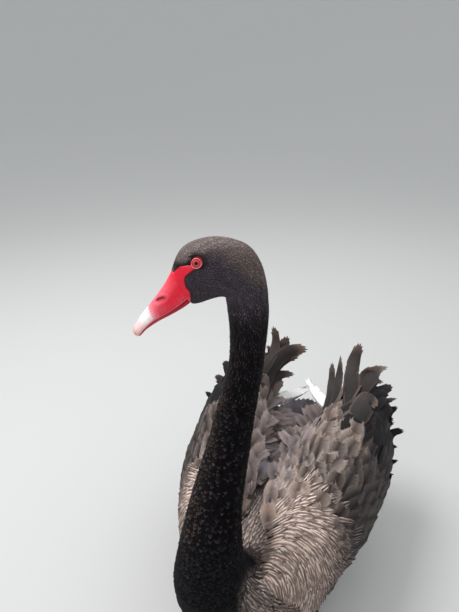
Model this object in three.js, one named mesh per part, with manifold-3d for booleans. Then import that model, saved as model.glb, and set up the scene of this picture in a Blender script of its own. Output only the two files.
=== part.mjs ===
// Black swan at rest, life size, in millimetres with +Z up.
// The bird faces -Y and its left side is +X. The origin is the middle of the flat under its belly.
import * as THREE from 'three';
import Module from 'manifold-3d';

const wasm = await Module();
wasm.setup();

// Clear space kept between pieces that meet.
const GAP = 0.3;
// Corners closer than this are one corner.
const WELD = 0.004;

// Cross-sections of the trunk from the breast to the rump.
const TRUNK = [
  { y: -250, top: 182, bottom: 160, half: 10 },
  { y: -243, top: 208, bottom: 130, half: 36 },
  { y: -222, top: 230, bottom: 94, half: 60 },
  { y: -182, top: 244, bottom: 52, half: 86 },
  { y: -130, top: 243, bottom: 20, half: 109 },
  { y: -70, top: 236, bottom: -3, half: 126 },
  { y: 0, top: 230, bottom: -4, half: 133 },
  { y: 80, top: 221, bottom: -3, half: 130 },
  { y: 150, top: 205, bottom: 20, half: 115 },
  { y: 200, top: 188, bottom: 56, half: 86 },
  { y: 240, top: 172, bottom: 98, half: 52 },
];
const TRUNK_SIDES = 26;
const TRUNK_RINGS = 16;
// Rings lie closer together toward the breast and a little toward the rump.
const RING_CROWDING = Math.PI * 0.82;

// Route of the neck from inside the breast up to the back of the head, with its radius.
const NECK = [
  { at: [-12, -148, 150], radius: 76 },
  { at: [-20, -192, 232], radius: 64 },
  { at: [-22, -194, 286], radius: 50 },
  { at: [-26, -168, 345], radius: 40.5 },
  { at: [-21, -147, 405], radius: 34.5 },
  { at: [-13, -138, 464], radius: 29.5 },
  { at: [-3, -138, 524], radius: 25.5 },
  { at: [9, -145, 584], radius: 22 },
  { at: [15, -155, 635], radius: 22 },
  { at: [16, -159.5, 668], radius: 23.5 },
  { at: [13, -161, 696], radius: 23.5 },
];
const NECK_SIDES = 22;
// Where the neck parts from the trunk, from one length to the next and from the head.
const NECK_CUTS = [0.2, 0.44, 0.68, 0.905];

// The head's own frame: its middle between the eyes, its turn to the bird's right and its dip.
const HEAD_AT = [-32.9, -193.9, 736];
const HEAD_TURN = THREE.MathUtils.degToRad(54);
const HEAD_DIP = THREE.MathUtils.degToRad(52);

// Head outline in that frame, as [forward, up], from the bill's base back over the crown
// to the neck, and the same for chin and throat, with the half width between the two.
const CROWN = [
  [28, 8], [14, 13], [0, 14.6], [-14, 8.6], [-29, -6], [-39, -26], [-42, -46], [-33, -69], [-14, -93],
];
const THROAT = [
  [38, -30.5], [34, -36], [29.5, -40], [24.5, -43.8], [20.4, -48.2], [18.2, -51.8], [17.3, -54.8], [19, -58.6],
  [27, -66],
];
const HEAD_HALF = [15, 18.5, 22, 24.5, 25.5, 26, 26, 25.5, 24.5];
const HEAD_RINGS = 15;
const HEAD_SIDES = 20;

// Bill outline in the head's frame: ridge, edge of the mouth and lower edge, and half widths.
const BILL = [
  { f: 28, ridge: 8, mouth: -17.6, low: -27, half: 14.6 },
  { f: 36, ridge: 6.8, mouth: -17.4, low: -27, half: 15 },
  { f: 48, ridge: 6, mouth: -14.8, low: -24, half: 14.2 },
  { f: 62, ridge: 6, mouth: -9.8, low: -17.8, half: 13 },
  { f: 76, ridge: 6.6, mouth: -3.4, low: -10.6, half: 12.2 },
  { f: 90, ridge: 6.6, mouth: -0.6, low: -6, half: 11 },
  { f: 98, ridge: 5.2, mouth: -0.9, low: -4.9, half: 9 },
  { f: 103, ridge: 2.6, mouth: -1.6, low: -4.4, half: 6 },
];
const BILL_BACK = 31;
const BILL_BACK_LEAN = 0.22;
const LOWER_BILL_INSET = 1.2;
const LOWER_BILL_END = 99;
const NOSTRIL = { f: 55.4, side: 10.6, up: 1.8, length: 12, height: 3.4, depth: 3.4, lean: -24 };

const EYE_RADIUS = 6.4;
const EYE_SIDE = 16.4;
const LID = { radius: 5.9, thick: 1.5, side: 21.4 };

// Cross-sections of one folded, lifted wing from shoulder to rear.
const WING = [
  { y: -172, innerX: 46, innerZ: 232, crest: 240, outerX: 82, outerZ: 200, lowX: 78, lowZ: 168 },
  { y: -120, innerX: 36, innerZ: 244, crest: 268, outerX: 122, outerZ: 194, lowX: 116, lowZ: 134 },
  { y: -60, innerX: 16, innerZ: 252, crest: 292, outerX: 158, outerZ: 190, lowX: 142, lowZ: 110 },
  { y: 0, innerX: 10, innerZ: 250, crest: 308, outerX: 184, outerZ: 192, lowX: 156, lowZ: 104 },
  { y: 70, innerX: 12, innerZ: 250, crest: 320, outerX: 200, outerZ: 197, lowX: 164, lowZ: 106 },
  { y: 140, innerX: 34, innerZ: 258, crest: 326, outerX: 206, outerZ: 206, lowX: 166, lowZ: 118 },
  { y: 205, innerX: 62, innerZ: 264, crest: 322, outerX: 198, outerZ: 218, lowX: 160, lowZ: 146 },
];
const WING_ROWS = 10;
const WING_THICK_FRONT = 22;
const WING_THICK_REAR = 7;
// The right wing is held this much closer to the body.
const RIGHT_WING_IN = 0.93;
// Each wing is parted along its crest into a strip by the back and one down the side.
const WING_PARTING = 0.46;
const STRIPS = {
  back: { from: 0, to: WING_PARTING, columns: 5 },
  side: { from: WING_PARTING, to: 1, columns: 6 },
};

// Tiers of vanes on each strip, from the shoulder to the rear, and how one vane lies.
const TIERS = [
  { u: 0.27, back: 3, side: 3 },
  { u: 0.42, back: 3, side: 4 },
  { u: 0.57, back: 3, side: 3 },
  { u: 0.72, back: 3, side: 3 },
];
const VANE = { length: 88, half: 25, thick: 2, sink: 3, lift: 7.5, roll: 0.07, spans: 2, splay: 0.5 };
// The lowest side vanes, which reach past the wing's rear edge.
const LOW_VANES = { count: 3, u: 0.84, from: 0.78, to: 0.94, length: 96 };

// Curled rear feathers of each wing, from the innermost outward: where each grows on the wing,
// and how far its tip lies outward, rearward and above its root.
const CURL_LIE = [
  { share: 0, u: 0.92, v: 0.07, out: -6, back: 118, rise: 50 },
  { share: 0.3, u: 0.95, v: 0.26, out: -4, back: 128, rise: 62 },
  { share: 0.5, u: 0.95, v: 0.42, out: 24, back: 112, rise: 56 },
  { share: 0.7, u: 0.9, v: 0.55, out: 34, back: 84, rise: 42 },
  { share: 0.85, u: 0.82, v: 0.64, out: 34, back: 66, rise: 40 },
  { share: 1, u: 0.7, v: 0.7, out: 30, back: 54, rise: 40 },
];

const CURLS = { back: 5, side: 5, half: 20, thick: 1.8, spans: 4, sink: 4, short: 0.82, forward: 0.05 };

// The share of the row of curls that each strip carries.
const CURL_SPREAD = { back: { from: 0, to: 0.34 }, side: { from: 0.65, to: 1 } };

// White flight feathers of each wing, which run inside it and cross over the tail.
const HAND = { u: 0.69, v: 0.7, under: 42, reach: 34, wide: 26, thick: 13 };
const FLIGHT = {
  count: 4, half: 17, thick: 1.4, step: 2.2, spans: 5,
  passX: 104, passY: 168, passZ: 216,
  tipX: -10, tipY: 352, tipZ: 236, fanX: 40, fanY: -34,
};
const LEFT_FLIGHT_ABOVE = 13;

// Rump and tail fan, with a shorter tier of feathers over it.
const TAIL_ROOT_Y = 240;
const RUMP = { length: 46, top: 161, bottom: 124, half: 38 };
const TAIL = {
  count: 8, length: 128, half: 16, thick: 1.3, step: 2.1, spread: 50, rootX: 24, rise: 10, top: 149,
};
const TAIL_COVERTS = {
  count: 5, length: 84, half: 15, thick: 1.3, step: 2.1, spread: 34, rootX: 18, rise: 6, top: 160,
};
const TAIL_SINK = 26;

// Folded legs and webbed feet, flat on the floor under the flanks.
const LEG = { x: 92, heelY: 118, toeY: 22, centre: 7.2, radius: 7.4, heel: 9, thigh: 17 };
const TOES = [
  { turn: -16, length: 96, root: -9.6 },
  { turn: 1, length: 116, root: 0 },
  { turn: 18, length: 106, root: 9.6 },
];
const TOE = { root: 4.4, tip: 3.2, sink: 0.4, hind: 24 };
const WEB = { rows: 5, low: 0.7, high: 3, dip: 0.8 };
const CLAW = { length: 12, root: 2.7, tip: 0.6 };

const V = (x, y, z) => new THREE.Vector3(x, y, z);
const mix = THREE.MathUtils.lerp;

// Smooth value of a named size between the rows of a table, straight on past its ends.
function sizeAt(table, key, name, value) {
  const last = table.length - 1;
  let i = 0;
  while (i < last - 1 && value > table[i + 1][key]) i += 1;
  const [a, b] = [table[i], table[i + 1]];
  const span = b[key] - a[key];
  const t = (value - a[key]) / span;
  const rise = b[name] - a[name];
  if (t < 0 || t > 1) return a[name] + rise * t;
  const before = table[Math.max(i - 1, 0)];
  const after = table[Math.min(i + 2, last)];
  const slopeA = ((b[name] - before[name]) / (b[key] - before[key])) * span;
  const slopeB = ((after[name] - a[name]) / (after[key] - a[key])) * span;
  const bend = t * t * (3 - 2 * t);
  return a[name] + rise * bend + slopeA * t * (1 - t) ** 2 - slopeB * t * t * (1 - t);
}

// Repeatable random draws between -1 and 1.
function drawer(seed) {
  let state = seed;
  return () => {
    state = (state * 1664525 + 1013904223) % 4294967296;
    return (state / 4294967296) * 2 - 1;
  };
}

// A solid from points and triangles, turned face out where it is inside out.
function solid(points, faces) {
  let volume = 0;
  for (const [a, b, c] of faces) {
    volume += points[a].dot(V(0, 0, 0).crossVectors(points[b], points[c]));
  }
  const triVerts = new Uint32Array(faces.length * 3);
  faces.forEach(([a, b, c], i) => triVerts.set(volume > 0 ? [a, b, c] : [a, c, b], i * 3));
  const vertProperties = new Float32Array(points.flatMap((p) => [p.x, p.y, p.z]));
  return new wasm.Manifold(new wasm.Mesh({ numProp: 3, vertProperties, triVerts, tolerance: WELD }));
}

// A closed skin over rings of equal point counts, with a fan over each end.
function loft(rings) {
  const count = rings[0].length;
  const points = rings.flat();
  const faces = [];
  const next = (i) => (i + 1) % count;
  for (let r = 0; r + 1 < rings.length; r += 1) {
    const base = r * count;
    for (let i = 0; i < count; i += 1) {
      faces.push([base + i, base + next(i), base + count + next(i)]);
      faces.push([base + i, base + count + next(i), base + count + i]);
    }
  }
  for (const [ring, base] of [[rings[0], 0], [rings.at(-1), (rings.length - 1) * count]]) {
    const middle = ring.reduce((sum, p) => sum.add(p), V(0, 0, 0)).divideScalar(count);
    points.push(middle);
    const hub = points.length - 1;
    for (let i = 0; i < count; i += 1) {
      faces.push(base === 0 ? [hub, next(i), i] : [hub, base + i, base + next(i)]);
    }
  }
  return solid(points, faces);
}

// A thin body between two grids of points, split into triangles alike on both faces.
function plate(upper, lower) {
  const rows = upper.length;
  const columns = upper[0].length;
  const points = [...upper.flat(), ...lower.flat()];
  const at = (side, r, c) => (side * rows + r) * columns + c;
  const faces = [];
  for (let r = 0; r + 1 < rows; r += 1) {
    for (let c = 0; c + 1 < columns; c += 1) {
      faces.push([at(0, r, c), at(0, r, c + 1), at(0, r + 1, c + 1)]);
      faces.push([at(0, r, c), at(0, r + 1, c + 1), at(0, r + 1, c)]);
      faces.push([at(1, r, c), at(1, r + 1, c + 1), at(1, r, c + 1)]);
      faces.push([at(1, r, c), at(1, r + 1, c), at(1, r + 1, c + 1)]);
    }
  }
  const rim = [];
  for (let c = 0; c < columns - 1; c += 1) rim.push([0, c]);
  for (let r = 0; r < rows - 1; r += 1) rim.push([r, columns - 1]);
  for (let c = columns - 1; c > 0; c -= 1) rim.push([rows - 1, c]);
  for (let r = rows - 1; r > 0; r -= 1) rim.push([r, 0]);
  rim.forEach(([r, c], i) => {
    const [nextR, nextC] = rim[(i + 1) % rim.length];
    faces.push([at(0, nextR, nextC), at(0, r, c), at(1, r, c)]);
    faces.push([at(0, nextR, nextC), at(1, r, c), at(1, nextR, nextC)]);
  });
  return solid(points, faces);
}

// Several solids as one body. A loose scrap or a sealed hollow is dropped.
function join(solids) {
  return largest(solids.reduce((whole, piece) => whole.add(piece)));
}

function largest(body) {
  return body.decompose().sort((a, b) => b.volume() - a.volume())[0];
}

function cut(body, ...tools) {
  return largest(tools.reduce((rest, tool) => rest.subtract(tool), body));
}

function ball(centre, radii, basis, detail = 12) {
  const sphere = new THREE.SphereGeometry(1, detail, Math.max(6, Math.round(detail * 0.6)));
  sphere.scale(radii[0], radii[1], radii[2]);
  if (basis) sphere.applyMatrix4(basis);
  sphere.translate(centre.x, centre.y, centre.z);
  return fromGeometry(sphere);
}

// A closed geometry with its shared corners merged, as a solid.
function fromGeometry(geometry) {
  const place = geometry.attributes.position;
  const seen = new Map();
  const points = [];
  const index = [];
  for (let i = 0; i < place.count; i += 1) {
    const p = V(place.getX(i), place.getY(i), place.getZ(i));
    const key = [p.x, p.y, p.z].map((value) => Math.round(value * 1e3)).join();
    if (!seen.has(key)) {
      seen.set(key, points.length);
      points.push(p);
    }
    index.push(seen.get(key));
  }
  const order = geometry.index ? [...geometry.index.array] : [...Array(place.count).keys()];
  const faces = [];
  for (let i = 0; i < order.length; i += 3) {
    const face = [index[order[i]], index[order[i + 1]], index[order[i + 2]]];
    if (new Set(face).size === 3) faces.push(face);
  }
  return solid(points, faces);
}

const up = V(0, 0, 1);

// Round body along a curve, with square ends. The radius follows the place on the curve.
function tube(curve, radiusAt, from, to, steps, sides) {
  const rings = [];
  for (let r = 0; r <= steps; r += 1) {
    const t = mix(from, to, r / steps);
    const centre = curve.getPointAt(t);
    const along = curve.getTangentAt(t);
    const reference = Math.abs(along.z) > 0.6 ? V(1, 0, 0) : up;
    const across = reference.clone().addScaledVector(along, -reference.dot(along)).normalize();
    const other = V(0, 0, 0).crossVectors(along, across);
    rings.push(ringAround(centre, across, other, radiusAt(t), radiusAt(t), sides));
  }
  return loft(rings);
}

function ringAround(centre, across, other, halfAcross, halfOther, sides) {
  return Array.from({ length: sides }, (_, i) => {
    const angle = (i / sides) * Math.PI * 2;
    return centre.clone()
      .addScaledVector(across, Math.cos(angle) * halfAcross)
      .addScaledVector(other, Math.sin(angle) * halfOther);
  });
}

// Trunk, with flat belly, grown a little where it is used to cut its neighbours.
function trunkForm(grow = 0) {
  const rings = [];
  const [first, last] = [TRUNK[0].y, TAIL_ROOT_Y];
  for (let r = 0; r <= TRUNK_RINGS; r += 1) {
    const share = (1 - Math.cos((r / TRUNK_RINGS) * RING_CROWDING)) / (1 - Math.cos(RING_CROWDING));
    const y = mix(first, last, share);
    const top = sizeAt(TRUNK, 'y', 'top', y) + grow;
    const bottom = sizeAt(TRUNK, 'y', 'bottom', y) - grow;
    const half = sizeAt(TRUNK, 'y', 'half', y) + grow;
    const ring = Array.from({ length: TRUNK_SIDES }, (_, i) => {
      const angle = (i / TRUNK_SIDES) * Math.PI * 2;
      const z = (top + bottom) / 2 + (Math.sin(angle) * (top - bottom)) / 2;
      return V(Math.cos(angle) * half, y, Math.max(z, -grow));
    });
    rings.push(ring);
  }
  rings[0].forEach((p) => p.setY(p.y - grow));
  rings.at(-1).forEach((p) => p.setY(p.y + grow));
  return loft(rings);
}

const neckCurve = new THREE.CatmullRomCurve3(NECK.map(({ at }) => V(...at)));
const neckLength = neckCurve.getLength();

function neckRadius(t) {
  const step = (NECK.length - 1) * neckCurve.getUtoTmapping(t);
  const rows = NECK.map(({ radius }, i) => ({ i, radius }));
  return sizeAt(rows, 'i', 'radius', step);
}

function neckPiece(from, to, grow = 0) {
  const steps = Math.max(3, Math.round((to - from) * neckLength / 28));
  return tube(neckCurve, (t) => neckRadius(t) + grow, from, to, steps, NECK_SIDES);
}

const halfGap = GAP / 2 / neckLength;
const trunk = trunkForm();
const trunkCutter = trunkForm(GAP);
const torso = join([trunk, neckPiece(0, NECK_CUTS[0] - halfGap)]);
const neckStub = neckPiece(0, NECK_CUTS[0], GAP);
const neckLower = neckPiece(NECK_CUTS[0] + halfGap, NECK_CUTS[1] - halfGap);
const neckMiddle = neckPiece(NECK_CUTS[1] + halfGap, NECK_CUTS[2] - halfGap);
const neckUpper = neckPiece(NECK_CUTS[2] + halfGap, NECK_CUTS[3] - halfGap);

// The head's axes: forward along the bill, to its left side, and up through the crown.
const heading = V(-Math.sin(HEAD_TURN), -Math.cos(HEAD_TURN), 0);
const forward = heading.clone().multiplyScalar(Math.cos(HEAD_DIP)).setZ(-Math.sin(HEAD_DIP));
const leftward = V(-heading.y, heading.x, 0);
const crownward = V(0, 0, 0).crossVectors(forward, leftward);
const headBasis = new THREE.Matrix4().makeBasis(forward, leftward, crownward);

function inHead(f, s, u) {
  return V(f, s, u).applyMatrix4(headBasis).add(V(...HEAD_AT));
}

function outline(list, t) {
  const rows = list.map(([f, u], i) => ({ i, f, u }));
  const step = t * (list.length - 1);
  return [sizeAt(rows, 'i', 'f', step), sizeAt(rows, 'i', 'u', step)];
}

function headSkull(grow = 0) {
  const halves = HEAD_HALF.map((half, i) => ({ i, half }));
  const rings = [];
  for (let r = 0; r <= HEAD_RINGS; r += 1) {
    const t = r / HEAD_RINGS;
    const [topF, topU] = outline(CROWN, t);
    const [lowF, lowU] = outline(THROAT, t);
    const half = sizeAt(halves, 'i', 'half', t * (halves.length - 1)) + grow;
    const middle = inHead((topF + lowF) / 2, 0, (topU + lowU) / 2);
    const rise = inHead(topF, 0, topU).sub(middle);
    const tall = rise.length() + grow;
    rings.push(ringAround(middle, leftward, rise.normalize(), half, tall, HEAD_SIDES));
  }
  return loft(rings);
}

// One ring of the bill. A share of the way down its side belongs to a broad, rounded section.
function billRing(f, top, bottom, half, edge) {
  const ring = [];
  const sides = 9;
  for (let i = 0; i <= sides; i += 1) {
    const angle = (i / sides) * Math.PI;
    const across = Math.cos(angle);
    const width = Math.sign(across) * Math.abs(across) ** 0.8 * half;
    ring.push(inHead(f, width, bottom + edge + (top - bottom - edge) * Math.sin(angle) ** 0.9));
  }
  ring.push(inHead(f, -half * 0.82, bottom), inHead(f, 0, bottom + 0.6), inHead(f, half * 0.82, bottom));
  return ring;
}

function billLoft(topKey, bottomKey, inset, end, grow = 0) {
  const rings = [];
  const count = 10;
  const start = BILL[0].f - 6;
  for (let r = 0; r <= count; r += 1) {
    const f = mix(start, end, Math.sin((r / count) * Math.PI / 2));
    const top = sizeAt(BILL, 'f', topKey, f);
    const bottom = sizeAt(BILL, 'f', bottomKey, f);
    const half = Math.max(sizeAt(BILL, 'f', 'half', f) - inset, 1.5);
    rings.push({ f, top: top + grow, bottom: bottom - grow, half: half + grow });
  }
  return rings;
}

// A big block on one side of the bill's back edge.
function behindBill(reach) {
  const lean = (u) => BILL_BACK - u * BILL_BACK_LEAN;
  const corners = (u) => [lean(u), lean(u) + reach];
  const ring = (s) => {
    const [lowNear, lowFar] = corners(-80);
    const [topNear, topFar] = corners(60);
    return [inHead(lowNear, s, -80), inHead(lowFar, s, -80), inHead(topFar, s, 60), inHead(topNear, s, 60)];
  };
  return loft([ring(-60), ring(60)]);
}

const nostrilLean = new THREE.Matrix4().makeRotationY(THREE.MathUtils.degToRad(NOSTRIL.lean));
const nostrilBasis = headBasis.clone().multiply(nostrilLean);

function upperBill() {
  const rings = billLoft('ridge', 'mouth', 0, BILL.at(-1).f)
    .map(({ f, top, bottom, half }) => billRing(f, top, bottom, half, 1.6));
  const nostrils = [1, -1].map((side) => {
    const centre = inHead(NOSTRIL.f, side * NOSTRIL.side, NOSTRIL.up);
    return ball(centre, [NOSTRIL.length / 2, NOSTRIL.depth, NOSTRIL.height / 2], nostrilBasis);
  });
  return cut(loft(rings), ...nostrils, behindBill(-70));
}

function lowerBill() {
  const rings = billLoft('mouth', 'low', LOWER_BILL_INSET, LOWER_BILL_END)
    .map(({ f, top, bottom, half }) => billRing(f, top - GAP, bottom, half, 0.8));
  const upperRings = billLoft('ridge', 'mouth', 0, BILL.at(-1).f, GAP)
    .map(({ f, top, bottom, half }) => billRing(f, top, bottom, half, 1.6));
  return cut(loft(rings), loft(upperRings), behindBill(-70));
}

function lidRing(side) {
  const ring = new THREE.TorusGeometry(LID.radius, LID.thick, 5, 16);
  const turn = new THREE.Matrix4().makeBasis(forward, crownward, leftward.clone().negate());
  ring.applyMatrix4(turn);
  const centre = inHead(0, side * LID.side, 0);
  ring.translate(centre.x, centre.y, centre.z);
  return fromGeometry(ring);
}

function eyeball(side, grow = 0) {
  const radius = EYE_RADIUS + grow;
  return ball(inHead(0, side * EYE_SIDE, 0), [radius, radius, radius], null, 14);
}

function headForm() {
  const neckTop = neckPiece(NECK_CUTS[3] + halfGap, 1);
  const whole = join([headSkull(), neckTop, lidRing(1), lidRing(-1)]);
  return cut(whole, eyeball(1, GAP), eyeball(-1, GAP), behindBill(70));
}

// Wing surface: u runs from shoulder to rear and v from the inner edge over to the lower edge.
function wingPoint(side, u, v) {
  const wide = side > 0 ? 1 : RIGHT_WING_IN;
  const y = mix(WING[0].y, WING.at(-1).y, u);
  const size = (name) => sizeAt(WING, 'y', name, y);
  const innerX = size('innerX');
  const crestX = mix(innerX, size('outerX'), 0.42);
  const shoulderX = mix(innerX, size('outerX'), 0.83);
  const shoulderZ = mix(size('outerZ'), size('crest'), 0.72);
  const rows = [
    { v: 0, x: innerX, z: size('innerZ') },
    { v: 0.3, x: crestX, z: size('crest') },
    { v: 0.55, x: shoulderX, z: shoulderZ },
    { v: 0.74, x: size('outerX'), z: size('outerZ') },
    { v: 1, x: size('lowX'), z: size('lowZ') },
  ];
  return V(side * wide * sizeAt(rows, 'v', 'x', v), y, sizeAt(rows, 'v', 'z', v));
}

const STEP = 1e-3;

function wingFrame(side, u, v) {
  const alongU = wingPoint(side, u + STEP, v).sub(wingPoint(side, u - STEP, v)).divideScalar(2 * STEP);
  const alongV = wingPoint(side, u, v + STEP).sub(wingPoint(side, u, v - STEP)).divideScalar(2 * STEP);
  const normal = V(0, 0, 0).crossVectors(alongV, alongU).multiplyScalar(side).normalize();
  return { alongU, alongV, normal };
}

function wingLifted(side, u, v, height) {
  return wingPoint(side, u, v).addScaledVector(wingFrame(side, u, v).normal, height);
}

// Length across the wing from its inner to its lower edge.
function wingArc(side, u) {
  const steps = 12;
  let arc = 0;
  for (let i = 0; i < steps; i += 1) {
    arc += wingPoint(side, u, i / steps).distanceTo(wingPoint(side, u, (i + 1) / steps));
  }
  return arc;
}

// One strip of the wing's shell. It stops half a gap short of the parting.
function wingShell(side, { from, to, columns }, grow = 0) {
  const upper = [];
  const lower = [];
  for (let r = 0; r <= WING_ROWS; r += 1) {
    const u = r / WING_ROWS;
    const thick = mix(WING_THICK_FRONT, WING_THICK_REAR, u ** 0.7);
    const clear = (GAP / 2 - grow) / wingArc(side, u);
    const [start, end] = [from === WING_PARTING ? from + clear : from, to === WING_PARTING ? to - clear : to];
    upper.push([]);
    lower.push([]);
    for (let c = 0; c <= columns; c += 1) {
      const v = mix(start, end, c / columns);
      const round = 1 - Math.abs(2 * v - 1) ** 6 * 0.5;
      upper.at(-1).push(wingLifted(side, u, v, grow));
      lower.at(-1).push(wingLifted(side, u, v, -thick * round - grow));
    }
  }
  return plate(upper, lower);
}

// How wide a vane is along its length, from its root to its rounded tip.
function vaneWidth(t) {
  return Math.sin(Math.PI * (0.16 + 0.68 * t)) ** 0.6 * (t === 1 ? 0.5 : 1);
}

// One vane lying on the wing. Its root sinks in and its tip lifts clear of the tier behind.
function wingVane(side, u, v, { length, half, turn }) {
  const { alongU, alongV } = wingFrame(side, u, v);
  const upper = [];
  const lower = [];
  for (let r = 0; r <= VANE.spans; r += 1) {
    const t = r / VANE.spans;
    const deep = (VANE.thick / 2) * mix(1, 0.6, t);
    const spots = [-1, 0, 1].map((k) => {
      const ahead = length * t * (1 - Math.abs(k) * 0.1);
      const aside = k * half * vaneWidth(t);
      const onU = u + (ahead * Math.cos(turn) - aside * Math.sin(turn)) / alongU.length();
      const onV = v + (ahead * Math.sin(turn) + aside * Math.cos(turn)) / alongV.length();
      return { onU, onV, height: mix(-VANE.sink, VANE.lift, t) + VANE.roll * aside };
    });
    upper.push(spots.map(({ onU, onV, height }) => wingLifted(side, onU, onV, height + deep)));
    lower.push(spots.map(({ onU, onV, height }) => wingLifted(side, onU, onV, height - deep)));
  }
  return plate(upper, lower);
}

// All tiers of one strip, each vane kept on its own side of the parting.
function wingTiers(side, strip) {
  const { from, to } = STRIPS[strip];
  const vanes = [];
  for (const tier of TIERS) {
    const perMm = (v) => 1 / wingFrame(side, tier.u, v).alongV.length();
    const first = from + VANE.half * perMm(from + 0.05);
    const last = to - VANE.half * perMm(to - 0.05);
    for (let i = 0; i < tier[strip]; i += 1) {
      const v = mix(first, last, i / (tier[strip] - 1));
      const turn = VANE.splay * Math.max(v - WING_PARTING - 0.1, 0);
      vanes.push(wingVane(side, tier.u, v, { length: VANE.length, half: VANE.half, turn }));
    }
  }
  return vanes;
}

function lowVanes(side) {
  return Array.from({ length: LOW_VANES.count }, (_, i) => {
    const v = mix(LOW_VANES.from, LOW_VANES.to, i / (LOW_VANES.count - 1));
    return wingVane(side, LOW_VANES.u, v, { length: LOW_VANES.length, half: VANE.half, turn: 0 });
  });
}

// A tapered ribbon along a curve, flat square to one axis, with a point past its rounded tip.
function ribbon(curve, axis, { half, thick, spans, cup = 0.12 }) {
  const upper = [];
  const lower = [];
  for (let r = 0; r <= spans; r += 1) {
    const t = r / spans;
    const wide = half * vaneWidth(t);
    const deep = (thick / 2) * mix(1, 0.6, t);
    const places = [-1, 0, 1].map((k) => {
      const along = t * (1 - Math.abs(k) * 0.1);
      const tangent = curve.getTangent(along);
      const across = axis.clone().addScaledVector(tangent, -axis.dot(tangent)).normalize();
      const normal = V(0, 0, 0).crossVectors(tangent, across);
      const middle = curve.getPoint(along).addScaledVector(across, k * wide);
      return { middle: middle.addScaledVector(normal, -Math.abs(k) * cup * wide), normal };
    });
    upper.push(places.map(({ middle, normal }) => middle.clone().addScaledVector(normal, deep)));
    lower.push(places.map(({ middle, normal }) => middle.clone().addScaledVector(normal, -deep)));
  }
  return plate(upper, lower);
}

// A curled feather. It leaves the wing rearward, then hooks up and outward.
function curl(side, share, size, forward) {
  const lie = (name) => sizeAt(CURL_LIE, 'share', name, share);
  const [u, v] = [lie('u') - forward, lie('v')];
  const root = wingLifted(side, u, v, -CURLS.sink);
  const { alongU, normal } = wingFrame(side, u, v);
  const chord = V(side * lie('out'), lie('back'), lie('rise')).multiplyScalar(size);
  const leave = alongU.normalize().addScaledVector(normal, 0.35).normalize();
  const hook = V(side * mix(0.35, 0.8, share), -0.15, 0.75).normalize();
  const tip = root.clone().add(chord);
  const reach = chord.length();
  const curve = new THREE.CubicBezierCurve3(
    root,
    root.clone().addScaledVector(leave, reach * 0.45),
    tip.clone().addScaledVector(hook, -reach * 0.35),
    tip,
  );
  const axis = V(0, 0, 0).crossVectors(leave, hook).normalize();
  return ribbon(curve, axis, { half: CURLS.half, thick: CURLS.thick, spans: CURLS.spans });
}

// The curls of one strip, alternately long and short.
function wingCurls(side, strip) {
  const draw = drawer(side > 0 ? 11 : 29);
  const { from, to } = CURL_SPREAD[strip];
  return Array.from({ length: CURLS[strip] }, (_, i) => {
    const share = mix(from, to, i / (CURLS[strip] - 1));
    const isShort = i % 2;
    const size = (isShort ? CURLS.short : 1) * (1 + 0.06 * draw());
    return curl(side, share, size, isShort ? CURLS.forward : 0);
  });
}

function wingForm(side, strip) {
  const low = strip === 'side' ? lowVanes(side) : [];
  const vanes = [...wingTiers(side, strip), ...wingCurls(side, strip), ...low];
  return cut(join([wingShell(side, STRIPS[strip]), ...vanes]), trunkCutter, neckStub);
}

function handBlock(side) {
  const { alongU, alongV, normal } = wingFrame(side, HAND.u, HAND.v);
  const basis = new THREE.Matrix4().makeBasis(normal, alongU.normalize(), alongV.normalize());
  return ball(handPlace(side), [HAND.reach, HAND.wide, HAND.thick], basis, 10);
}

function handPlace(side) {
  return wingLifted(side, HAND.u, HAND.v, -HAND.under);
}

// The white flight feathers of one wing, fanned and stacked without touching past the hand.
function flightForm(side) {
  const above = side > 0 ? LEFT_FLIGHT_ABOVE : 0;
  const feathers = Array.from({ length: FLIGHT.count }, (_, i) => {
    const share = i / (FLIGHT.count - 1);
    const down = -FLIGHT.step * i;
    const root = handPlace(side).add(V(0, 0, down));
    const pass = V(side * FLIGHT.passX, FLIGHT.passY, FLIGHT.passZ + down);
    const tip = V(
      side * (FLIGHT.tipX + FLIGHT.fanX * share),
      FLIGHT.tipY + FLIGHT.fanY * share,
      FLIGHT.tipZ + above + down,
    );
    const curve = new THREE.CatmullRomCurve3([root, pass, pass.clone().lerp(tip, 0.5), tip]);
    return ribbon(curve, V(side, 0.5, 0), FLIGHT);
  });
  const shells = Object.values(STRIPS).map((strip) => wingShell(side, strip, GAP));
  return cut(join([handBlock(side), ...feathers]), ...shells, trunkCutter);
}

// One tier of tail feathers. Each lies lower than the one before, by turns left and right.
function tailTier({ count, length, half, thick, step, spread, rootX, rise, top }) {
  return Array.from({ length: count }, (_, i) => {
    const side = i % 2 ? -1 : 1;
    const share = (i + 1) / count;
    const angle = THREE.MathUtils.degToRad(spread / 2) * share * side;
    const root = V(rootX * share * side, TAIL_ROOT_Y + RUMP.length - TAIL_SINK, top - step * i);
    const reach = length * (1 - 0.16 * share * share);
    const tip = root.clone().add(V(Math.sin(angle) * reach, Math.cos(angle) * reach, rise));
    const axis = V(-Math.cos(angle), Math.sin(angle), 0);
    return ribbon(new THREE.LineCurve3(root, tip), axis, { half, thick, spans: 3, cup: 0.04 });
  });
}

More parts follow.
